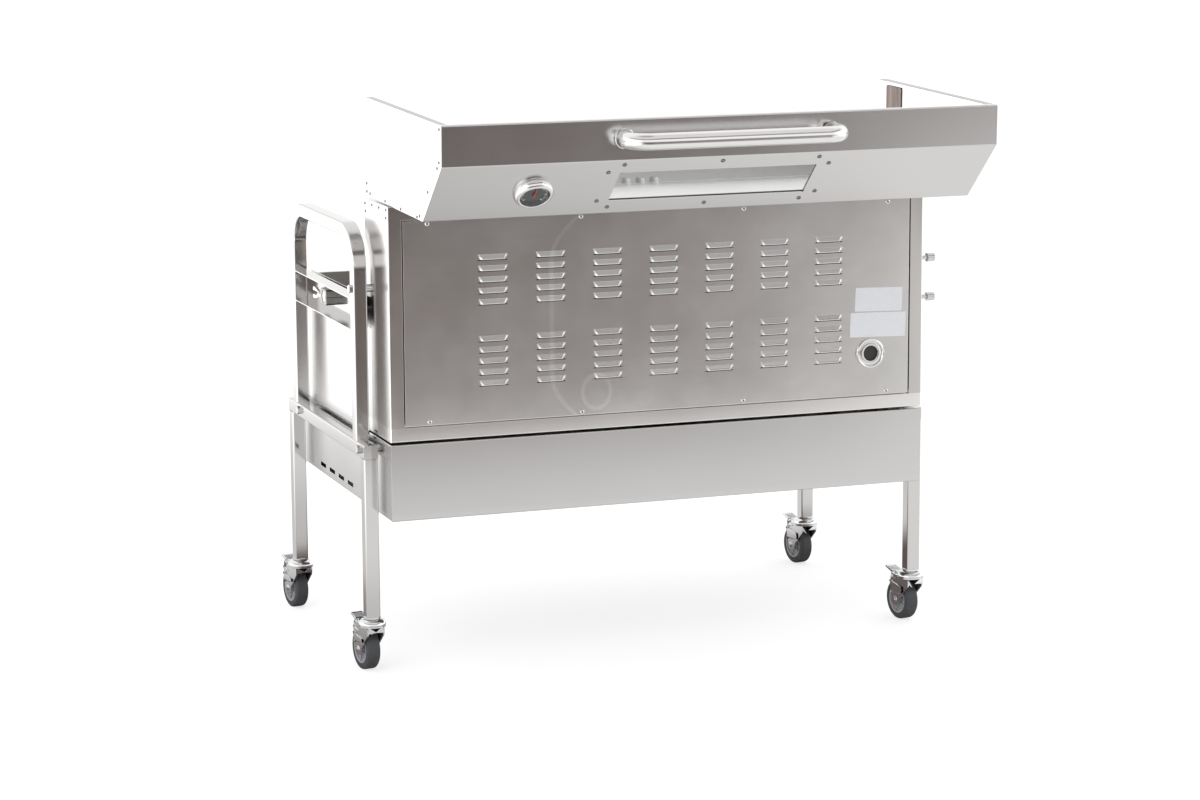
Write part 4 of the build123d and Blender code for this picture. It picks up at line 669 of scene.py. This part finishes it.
def make_lower_box():
    vents = [40.5 + (i - 1.5) * 62.5 for i in range(4)]
    cuts = [y + step for y in vents for step in (-19, 19)]
    end_y = FRONT_Y - SHEET
    path = [(-END_X, y, 0) for y in [end_y, *sorted(cuts, reverse=True), REAR_Y]]
    path += [(END_X, y, 0) for y in [REAR_Y, *sorted(cuts), end_y]]
    path = np.array(path)
    section = rounded([(22, BOX_Z0), (0, BOX_Z0), (0, 294.75), (0, 302.25), (0, BOX_Z1), (20, BOX_Z1)],
                      [0, 2.5, 0, 0, 2.5, 0], 4, closed=False)
    points = carried(section, path, (0, 0, 1))
    run_y = (path[1:, 1] + path[:-1, 1]) / 2
    level_z = (section[1:, 1] + section[:-1, 1]) / 2
    flat = np.abs(path[1:, 0] - path[:-1, 0]) < 1
    open_run = flat & (np.abs(run_y[:, None] - np.array(vents)) < 18).any(1)
    gaps = open_run[:, None] & ((level_z > 295) & (level_z < 302))[None]
    make("box_skirt", [grid(points, gaps=gaps)], "cabinet", box_steel, ["lower_box"], wall=SHEET,
         edge=0.4, turn_out=False)
    floor = [box(-END_X + 2, END_X - 2, REAR_Y + 2, FRONT_Y - 2, BOX_Z0 + 1.5, BOX_Z0 + 3)]
    for side in (-1, 1):
        angle = [(0, 394.2), (side * 10.5, 394.2), (side * 10.5, 413.0), (side * 9, 413.0), (side * 9, 392.7),
                 (0, 392.7)]
        floor.append(slab(angle, (side * 342, 0, 0), (1, 0, 0), (0, 0, 1), -258, 320.5))
    make("box_floor", floor, "cabinet", inner_steel)
    us = np.array([END_X, 351, -351, -END_X])
    vs = np.array([BOX_Z0, 318, 402, BOX_Z1])
    face = sheet_with_holes(us, vs, [(-351, 351, 318, 402)],
                            lambda u, v: np.stack([u, np.full_like(u, FRONT_Y), v], axis=-1))
    make("control_panel", [face], "cabinet", box_steel, ["front_panel"], wall=SHEET, edge=0.4,
         turn_out=False)


make_trolley()
for side_x, side_y in product((-1, 1), (-1, 1)):
    castor(("rear_" if side_y < 0 else "front_") + ("left" if side_x < 0 else "right"), side_x, side_y)
make_lower_box()


# Rear housing and its louvred panel
def make_housing():
    inner, lip = 24.4, 42.0
    section = rounded(
        [(inner, 0), (0, 0), (0, 142.5), (SHEET, 142.5), (SHEET, 9.5), (lip, 9.5), (lip, 8.0), (inner, 8.0)],
        [0.6, 2.2, 0, 0, 1.0, 0.3, 0.3, 0], 4,
    ) * (1, -1)
    corners = [(-END_X, HOUSING_Z0), (END_X, HOUSING_Z0), (END_X, HOUSING_Z1), (-END_X, HOUSING_Z1)]
    path = [(x, REAR_Y, z) for x, z in corners]
    shape = grid(carried(section, path, (0, -1, 0), closed=True), wrap_rows=True, wrap_columns=True)
    make("housing_shell", [shape], "cabinet", housing_steel, ["rear_housing"], edge=0.5)


def make_louvred_panel():
    """Sheet y = rear - depth * rise over the height * ramp over the end distance on each louvre, the sheet
    being open between its lip and the lower line of its slot, with the lip drawn in by a taper at both ends.
    A square under the inlet's ring is left open too."""
    half, depth, taper = 28.0, 4.6, 5.0
    columns = [1.0 + (i - 3) * 104.8 for i in range(7)]
    rows = sorted((middle + (j - 2) * 19.35 for middle in (694.7, 553.1) for j in range(5)), reverse=True)
    shares = [-1, -0.98, -0.92, -0.86, -0.81, -0.76, -0.33, 0, 0.33, 0.76, 0.81, 0.86, 0.92, 0.98, 1]
    ends = half * np.array(shares)
    falls = np.array([5.5, 5.1, 4.4, 2.9, 1.4, 0.0, -1.2, -2.2, -3.0, -3.5, -5.5])
    lift = np.array([0, 0.02, 0.10, 0.30, 0.50, 0.69, 0.84, 0.94, 0.99, 1.0, 0])
    swell = np.clip((half - np.abs(ends)) / 5.5, 0, 1)
    draw = -np.sign(ends) * taper * np.clip((np.abs(ends) - half / 2) / (half / 2), 0, 1)
    inlet = [384.1, 411.9]
    xs = np.concatenate([[-473.2, -472.2], *[ends + c for c in columns], inlet, [472.2, 473.2]])
    across = np.concatenate([[0, 0], *[swell for c in columns], [0, 0, 0, 0]])
    drawn = np.concatenate([[0, 0], *[draw for c in columns], [0, 0, 0, 0]])
    zs = np.concatenate([[801.6, 800.6], *[falls + r for r in rows], [448.2, 447.2]])
    down = np.concatenate([[0, 0], *[lift for r in rows], [0, 0]])
    slit = np.zeros(len(zs) - 1, bool)
    slit[len(falls) * np.arange(1, len(rows) + 1)] = True
    inside = (across[1:] > 0) | (across[:-1] > 0)
    x, z = np.meshgrid(xs, zs, indexing="ij")
    x = x + drawn[:, None] * down[None, :]
    y = REAR_Y - depth * across[:, None] * down[None, :]
    y[[0, -1]] += 0.6
    y[:, [0, -1]] += 0.6
    points = np.stack([x, y, z], axis=-1)
    gaps = inside[:, None] & slit[None, :]
    gaps |= np.isclose(xs[:-1], inlet[0])[:, None] & ((zs[:-1] < 540) & (zs[1:] > 508))[None, :]
    make("louvred_panel", [grid(points[:, ::-1], gaps=gaps[:, ::-1])], "cabinet", satin_panel,
         ["louvred_rear_panel"], wall=1.4, crease=50, turn_out=False)


# Heads of the fasteners, as (radius, height) from the face they sit on
BUTTON_HEAD = [(0, 0.3), (1.7, 0.3), (1.8, 1.5), (2.2, 1.8), (2.9, 1.66), (3.5, 1.2), (4.0, 0.6), (4.2, 0.15),
               (4.2, 0)]
# A disc in a screw head's socket; dark on the housing, where it is painted shade in the recess.
SOCKET = [(0, 0.2), (1.75, 0.2), (1.75, 0.7), (0, 0.7)]
RIVET_HEAD = [(0, 0.25), (0.85, 0.25), (0.95, 1.05), (1.25, 1.2), (2.0, 1.0), (2.7, 0.5), (3.0, 0), (0, 0)]


def make_housing_fasteners():
    heads, dark = [], []
    for x, z in product((-430, -152, 152, 430), (452.9, 796.4)):
        profile = BUTTON_HEAD + [(2.1, 0), (2.1, -1.5), (0, -1.5)]
        heads.append(turned(profile, (x, REAR_Y, z), (0, -1, 0), 28))
        # Dark disc in each socket: painted shade in the recess.
        dark.append(turned(SOCKET, (x, REAR_Y, z), (0, -1, 0), 6))
    for side, (y, z) in product((-1, 1), HOUSING_RIVETS):
        dark.append(turned(RIVET_HEAD, (side * END_X, REAR_Y + y, z), (side, 0, 0), 20))
    make("panel_screws", heads, "cabinet", bright_steel, crease=40)
    make("housing_rivets", dark, "cabinet", screw_steel, ["housing_fasteners"], crease=40)


def make_inlet():
    centre = (398.0, REAR_Y, 523.7)
    ring = [(13.75, 0), (13.75, 2.4), (14.2, 3.1), (15.2, 3.4), (19.4, 3.4), (20.4, 3.0), (20.9, 2.2),
            (21.5, 2.0), (22.0, 2.5), (22.6, 3.8), (23.6, 4.7), (24.8, 5.0), (26.0, 4.6), (27.0, 3.3),
            (27.5, 1.5), (27.5, 0)]
    make("inlet_ring", [turned(ring, centre, (0, -1, 0), 64, ring=True)], "cabinet", chrome,
         ["inlet_collar"])
    barrel = [(0, -14.0), (8.0, -14.0), (8.0, -2.6), (8.8, -1.7), (10.0, -1.5), (11.2, -1.6), (11.7, -2.2),
              (11.7, -42.4), (9, -42.4), (9, -58.4), (0, -58.4)]
    angle = pi / 3 * np.arange(6)
    nut = np.stack([17.7 * np.sin(angle), 17.7 * np.cos(angle)], axis=1)
    nut = slab(nut, centre, (1, 0, 0), (0, 0, 1), -13.5, -1.5, 0.5)
    make("inlet_barrel", [turned(barrel, centre, (0, -1, 0), 48), nut], "cabinet", black_plastic,
         ["inlet_fitting"])
    tilt = radians(1.6)
    across, upright = (cos(tilt), 0, -sin(tilt)), (sin(tilt), 0, cos(tilt))
    plates = [slab(rectangle(w, h, 1.5), (x, REAR_Y, z), across, upright, 0, 0.6, 0.2)
              for x, z, w, h in ((414.0, 620.8, 92.0, 43.0), (413.0, 575.0, 109.0, 44.5))]
    make("bare_plates", plates, "cabinet", plate_white, ["blank_plates"])


def make_bearing():
    """Split block round the end of the spit, and the wing screw that closes it along the channel."""
    swing = np.linspace(0, pi, 15)
    notch = np.stack([6 - 10.6 * np.cos(swing), 0.4 + 10.6 * np.sin(swing)], axis=1).tolist()
    half = np.array([(26, 0.4), (26, 11), (23, 14), (-11, 14), (-14, 11), (-14, 0.4), *notch])
    shapes = [slab(half * (1, step) + (0, SPIT_Z), (0, 0, 0), (0, 1, 0), (0, 0, 1), -528.0, -507.5, 0.8)
              for step in (-1, 1)]
    make("bearing_block", shapes, "cabinet", gear_steel, ["spit_bearing"])
    ridges = [(5.5 - 0.7 * (i % 2), 30 + i * 1.1) for i in range(28)]
    screw = [(0, 19), (4, 19), (4, 26.3), (5.5, 26.4), *ridges, (5.5, 61.5), (5.5, 67), (4.6, 68), (0, 68)]
    shapes = [turned(screw, (-517.75, 0, 627.0), (0, 1, 0), 28)]
    wing = rounded([(62, 3), (88, 3.6), (104, 3.4), (106, 6.5), (102, 11), (90, 10.4), (70, 5.8), (62, 5.5)],
                   [0.5, 2, 1.4, 2, 2.4, 4, 4, 0.5], 4)
    for step in (-1, 1):
        outline = wing * (1, step) + (0, 627.0)
        shapes.append(slab(outline, (0, 0, 0), (0, 1, 0), (0, 0, 1), -520.7, -514.8, 0.8))
    make("wing_screw", shapes, "cabinet", zinc)


make_housing()
make_louvred_panel()
make_housing_fasteners()
make_inlet()
make_bearing()


# Hood, in the frame of its hinge: forwards when shut, upwards when shut, and x
def on_hood(points):
    """Places (d, z, x) on the hood where it stands open: turned by the opening angle about the hinge line."""
    points = np.asarray(points, float)
    d, z, x = points[..., 0], points[..., 1], points[..., 2]
    c, s = cos(HOOD_TURN), sin(HOOD_TURN)
    return np.stack([x, HINGE_Y + d * c - z * s, HINGE_Z + d * s + z * c], axis=-1)


SLANT_RUN = unit(np.array([ROOF_D - BAND_D, ROOF_Z - CORNER_Z]))
SLANT_DOWN = on_hood([*SLANT_RUN, 0]) - on_hood([0, 0, 0])
SLANT_OUT = np.cross(SLANT_DOWN, (1.0, 0, 0))
SLANT_TOP = on_hood([BAND_D, CORNER_Z, 0])


def on_slant(x, s):
    """A place on the slanted face, at x and s down from the band's edge."""
    return SLANT_TOP + np.array([x, 0, 0]) + s * SLANT_DOWN


def make_hood():
    s0, s1 = WINDOW_S - WINDOW_H / 2, WINDOW_S + WINDOW_H / 2
    cut = [(BAND_D + s * SLANT_RUN[0], CORNER_Z + s * SLANT_RUN[1]) for s in (s1, s0)]
    chain = rounded(
        [(2.8, ROOF_Z - 36), (2.8, ROOF_Z), (ROOF_D, ROOF_Z), *cut, (BAND_D, CORNER_Z), (BAND_D, RIM_Z),
         (BAND_D - 14, RIM_Z)],
        [0, 2.5, 6, 0, 0, 4, 2.5, 0], 5, closed=False,
    )
    xs = np.array([-493.1, WINDOW_X - WINDOW_W / 2, WINDOW_X + WINDOW_W / 2, 493.1])
    points = np.stack(np.broadcast_arrays(chain[:, None, 0], chain[:, None, 1], xs[None]), axis=-1)
    points = on_hood(points)
    middle = (chain[1:] + chain[:-1]) / 2
    reach = (middle - (BAND_D, CORNER_Z)) @ SLANT_RUN
    off = np.abs(np.cross(SLANT_RUN, middle - (BAND_D, CORNER_Z)))
    opening = (reach > s0 + 0.5) & (reach < s1 - 0.5) & (off < 0.5)
    gaps = opening[:, None] & np.array([False, True, False])[None]
    make("hood_skin", [grid(points.swapaxes(0, 1), gaps=gaps.T)], "hood", hood_steel,
         ["hood_shell"], wall=HOOD_SHEET, turn_out=False, crease=30)
    # A separate brighter sheet over the roof's inside, painted light from above.
    inside = np.array([(5.0, ROOF_Z - 1.25), (ROOF_D - 3, ROOF_Z - 1.25)])
    ends = np.array([-491.0, 491.0])
    lining = np.stack(np.broadcast_arrays(inside[:, None, 0], inside[:, None, 1], ends[None]), axis=-1)
    make("hood_lining", [grid(on_hood(lining))], "hood", lining_steel, turn_out=False)
    corners = [(-4.2, ROOF_Z), (ROOF_D, ROOF_Z), (BAND_D, CORNER_Z), (BAND_D, RIM_Z), (-4.2, RIM_Z)]
    outline = rounded(corners, [2, 6, 4, 2, 2], 5)
    zero = on_hood([0, 0, 0])
    d_way, z_way = on_hood([1, 0, 0]) - zero, on_hood([0, 1, 0]) - zero
    for side, name in ((-1, "left"), (1, "right")):
        faces = sorted((side * HOOD_HALF, side * (HOOD_HALF - HOOD_SHEET)))
        plate = slab(outline, zero, d_way, z_way, *faces, 0.35)
        # A darker lip along each end's rim, painted shade for its edge line.
        rim = sorted((side * (HOOD_HALF - 0.4), side * (HOOD_HALF - 14)))
        lip = slab(rectangle(434, 1.2, 0.4, (213, RIM_Z + 0.6)), zero, d_way, z_way, *rim, 0.3)
        make(f"hood_end_{name}", [plate], "hood", side_steel, [f"hood_side_{name}"])
        make(f"hood_rim_{name}", [lip], "hood", rim_steel)
        inner = sorted((side * (HOOD_HALF - 1.2), side * (HOOD_HALF - 3.2)))
        # Dark cheek plate inside the end, its streaks painted reflection.
        cheek = slab(rounded([(0, -40.2), (62, -40.2), (62, -162.2), (0, -162.2)], 4, 4), zero, d_way, z_way,
                     *inner, 0.4)
        make(f"hood_cheek_{name}", [cheek], "hood", cheek_steel)


def make_hood_fasteners():
    bright, dark, nuts = [], [], []
    inwards = on_hood([0, -1, 0]) - on_hood([0, 0, 0])
    for side, (d, z) in product((-1, 1), HOOD_RIVETS):
        dark.append(turned(RIVET_HEAD, on_hood([d, z, side * HOOD_HALF]), (side, 0, 0), 20))
    places = [(WINDOW_X + step * 173.7, s) for s in (12.0, 129.5) for step in (-1, 0, 1)]
    places += [(WINDOW_X + side * 197.0, s) for side in (-1, 1) for s in (31.5, 111.0)]
    for x, s in places:
        profile = BUTTON_HEAD + [(1.5, 0), (1.5, -3.2), (0, -3.2)]
        # Hood screw heads in darkened steel as painted shade; their socket discs stay bright.
        dark.append(turned(profile, on_slant(x, s), SLANT_OUT, 28))
        bright.append(turned(SOCKET, on_slant(x, s), SLANT_OUT, 6))
    bolt = [(0, -2.2), (2.0, -2.2), (2.0, 0.4), (0, 0.4)]
    nut = [(0, 0), (3.9, 0), (4.2, 0.4), (4.2, 5.0), (3.9, 5.5), (0, 5.5)]
    cap = [(0, 5.0), (3.5, 5.0), (3.5, 8.6), (3.3, 9.5), (2.6, 10.4), (1.4, 10.9), (0, 11.0)]
    for x, step in product((-390.0, 10.0, 390.0), (-1, 0, 1)):
        seat = on_hood([17.0, ROOF_Z - HOOD_SHEET, x + step * 26.7])
        nuts += [turned(profile, seat, inwards, steps) for profile, steps in ((bolt, 16), (nut, 6), (cap, 24))]
    make("window_screw_sockets", bright, "hood", bright_steel, crease=40)
    make("hood_rivets", dark, "hood", screw_steel, ["hood_fasteners"], crease=40)
    make("hinge_nuts", nuts, "hood", lining_steel, crease=40)


def around(outer, hole, low, high):
    """Four bars between an outer and an inner rectangle of (x0, x1, s0, s1) on the slanted face."""
    x0, x1, s0, s1 = outer
    u0, u1, v0, v1 = hole
    parts = []
    for a, b, c, d in ((x0, x1, s0, v0), (x0, x1, v1, s1), (x0, u0, v0, v1), (u1, x1, v0, v1)):
        outline = rectangle(b - a, d - c, 0.5, ((a + b) / 2, -(c + d) / 2))
        parts.append(slab(outline, on_slant(0, 0), (1, 0, 0), -SLANT_DOWN, low, high, 0.2))
    return parts


def make_window():
    seat = on_slant(WINDOW_X, WINDOW_S)
    pane = slab(rectangle(378, 91, 3), seat, (1, 0, 0), -SLANT_DOWN, -5.2, -1.25, 0.4)
    make("window_pane", [pane], "hood", pane_glass, ["window_glass"])
    outer = (-210, 202, 7.55, 139.05)
    parts = around(outer, (-193.5, 185.5, 27.3, 119.3), -5.2, -1.25)
    parts += around(outer, (-180, 172, 34.3, 112.3), -6.4, -5.2)
    make("window_frame", parts, "hood", inner_steel, ["window_retainer"])


def make_thermometer():
    seat = on_slant(-320.4, 75.5)
    swing = np.linspace(0, pi / 2, 10)
    dome = np.stack([27.4 + 7.1 * np.cos(swing), 1.5 + 11.9 * np.sin(swing)], axis=1).tolist()
    case = [(0, -62), (3.2, -62), (4, -61), (4, -9.2), (16.4, -9.2), (17, -8.6), (17, -1.3), (9.6, -1.3),
            (9.6, 0), (33.9, 0), (34.4, 0.6), *dome, (26.3, 13.3), (25.6, 13.0), (25.3, 12.6), (26.45, 12.55),
            (26.45, 5.45), (0, 5.45)]
    make("thermometer_bezel", [turned(case, seat, SLANT_OUT, 96)], "hood", chrome,
         ["thermometer_case"], crease=38)
    disc = turned([(0, 5.5), (26.3, 5.5), (26.3, 6.5), (1.5, 6.5), (1.5, 9.6), (0, 9.8)], seat, SLANT_OUT, 48)
    make("thermometer_face", [disc], "hood", dial_dark, ["thermometer_dial"])
    ticks = []
    for i in range(25):
        angle = radians(-132 + 11 * i)
        out = sin(angle) * np.array([1.0, 0, 0]) - cos(angle) * SLANT_DOWN
        long = 5.0 if i % 4 == 0 else 2.6
        ticks.append(slab(rectangle(long, 1.8 if i % 4 == 0 else 1.0, 0, (22.6 - long / 2, 0)), seat, out,
                          np.cross(SLANT_OUT, out), 6.5, 6.75))
    make("thermometer_ticks", ticks, "hood", mark_white)
    needle = rounded([(-2.2, -6), (2.2, -6), (0.4, 21.5), (-0.4, 21.5)], 0.3, 3)
    hand = slab(needle, seat, (1, 0, 0), -SLANT_DOWN, 8.0, 9.0, 0.2)
    hub = [(1.6, 7.5), (3.2, 7.5), (3.2, 9.1), (2.8, 9.5), (1.6, 9.5)]
    boss = turned(hub, seat, SLANT_OUT, 32, ring=True)
    make("thermometer_hand", [hand, boss], "pointer", pointer_red, ["thermometer_pointer"])
    cover = turned([(0, 10.5), (26.3, 10.5), (26.3, 12.4), (0, 12.5)], seat, SLANT_OUT, 48)
    make("thermometer_cover", [cover], "hood", lens_glass, ["thermometer_lens"])


def make_handle():
    foot = on_hood([BAND_D, CORNER_Z - 36.54, 0])
    out = on_hood([1, 0, 0]) - on_hood([0, 0, 0])
    turns = ((-182, 0), (-199, 60), (199, 60), (182, 0))
    corners = [foot + np.array([x, 0, 0]) + reach * out for x, reach in turns]
    path = rounded(corners, 34.0, 14, closed=False)
    tube = bar(path, np.cross((1.0, 0, 0), out), circle(14.0, 40))
    make("handle_bar", [tube], "hood", handle_steel, ["hood_handle"], crease=40)
    collar = [(15.2, 0), (15.2, 3.2), (15.7, 3.8), (16.3, 4.0), (17.0, 3.6), (17.5, 2.6), (17.5, 0)]
    rings = [turned(collar, foot + np.array([x, 0, 0]), out, 48, ring=True) for x in (-182, 182)]
    make("handle_collars", rings, "hood", chrome)


make_hood()
make_hood_fasteners()
make_window()
make_thermometer()
make_handle()


# Controls and drip tray on the cook's side
def make_controls():
    for x, name in ((-KNOB_X, "left"), (KNOB_X, "right")):
        centre = (x, FRONT_Y, KNOB_Z)
        skirt = [(0, 0.4), (20.4, 0.4), (21, 1.2), (21, 3.4), (20, 5), (17.5, 8.6), (16.8, 9.9), (0, 9.9)]
        spindle = [(0, -13), (3, -13), (3, 4), (0, 4)]
        grip = slab(rectangle(9, 40, 3.0), centre, (-1, 0, 0), (0, 0, 1), 3, 22, 1.6)
        make(f"knob_{name}", [turned(skirt, centre, (0, 1, 0)), turned(spindle, centre, (0, 1, 0), 24), grip],
             f"burner_knob_{name}", black_plastic, [f"burner_knob_{name}"])
        mark = slab(rectangle(1.6, 11, 0.5, (-x, 363)), (0, FRONT_Y, 0), (-1, 0, 0), (0, 0, 1), 21.9, 22.2)
        make(f"knob_{name}_line", [mark], f"burner_knob_{name}", mark_white)
    push = [(0, -14), (8, -14), (8, 5.4), (7.4, 6.6), (6, 7), (0, 7)]
    make("spark_button", [turned(push, (466.0, FRONT_Y, KNOB_Z), (0, 1, 0), 40)], "igniter_button",
         black_plastic, ["igniter_button"])


def make_tray():
    bottom, top, rear = 322.0, 396.0, -170.0
    front = FRONT_Y + 0.3
    section = rounded([(60, bottom), (0, bottom), (0, top), (-9, top)], [0, 4, 2, 0], 4, closed=False)
    back = [(60, bottom), (0, bottom), (0, top - 0.2)]
    walls = [
        grid(carried(section, [(-340, front, 0), (-340, rear, 0)], (0, 0, 1))),
        grid(carried(section, [(340, rear, 0), (340, front, 0)], (0, 0, 1))),
        grid(carried(back, [(-339, rear, 0), (339, rear, 0)], (0, 0, 1))),
    ]
    base = box(-290, 290, rear + 50, front, bottom, bottom + 1.5)
    make("tray_walls", walls, "drip_tray", inner_steel, ["drip_tray"], wall=SHEET, edge=0.3,
         turn_out=False)
    face = slab(rectangle(714, 98, 3, (0, 359)), (0, front, 0), (-1, 0, 0), (0, 0, 1), 0, 1.5, 0.4)
    make("tray_front", [base, face], "drip_tray", box_steel)
    corners = [(-80, front + 1, 359), (-80, front + 29.5, 359), (80, front + 29.5, 359), (80, front + 1, 359)]
    pull = bar(rounded(corners, 12.0, 10, closed=False), (0, 0, 1), circle(5.0, 24))
    make("tray_pull", [pull], "drip_tray", handle_steel)


make_controls()
make_tray()

# Nodes that keep the model's own shape get a finish of their own
dressed = {
    end_steel: ["trough_ends"],
    inner_steel: ["trough", "chamber_back_wall", "burner_boxes", "hinge_leaf_fixed", "hinge_leaf_hood"],
    tube_steel: ["end_channels", "motor_bracket", "spit_rod", "meat_fork_left", "meat_fork_right"],
    bright_steel: ["frame_bolts"],
    zinc: ["castor_stems"],
    brass: ["gas_manifold", "gas_pipes"],
    ceramic: ["ceramic_tiles"],
    gear_steel: ["drive_gear", "motor_rotor"],
    side_steel: ["gear_case", "motor_can"],
    black_plastic: ["igniter"],
}
for finish, names in dressed.items():
    for name in names:
        nodes[name].data.materials.clear()
        nodes[name].data.materials.append(finish)
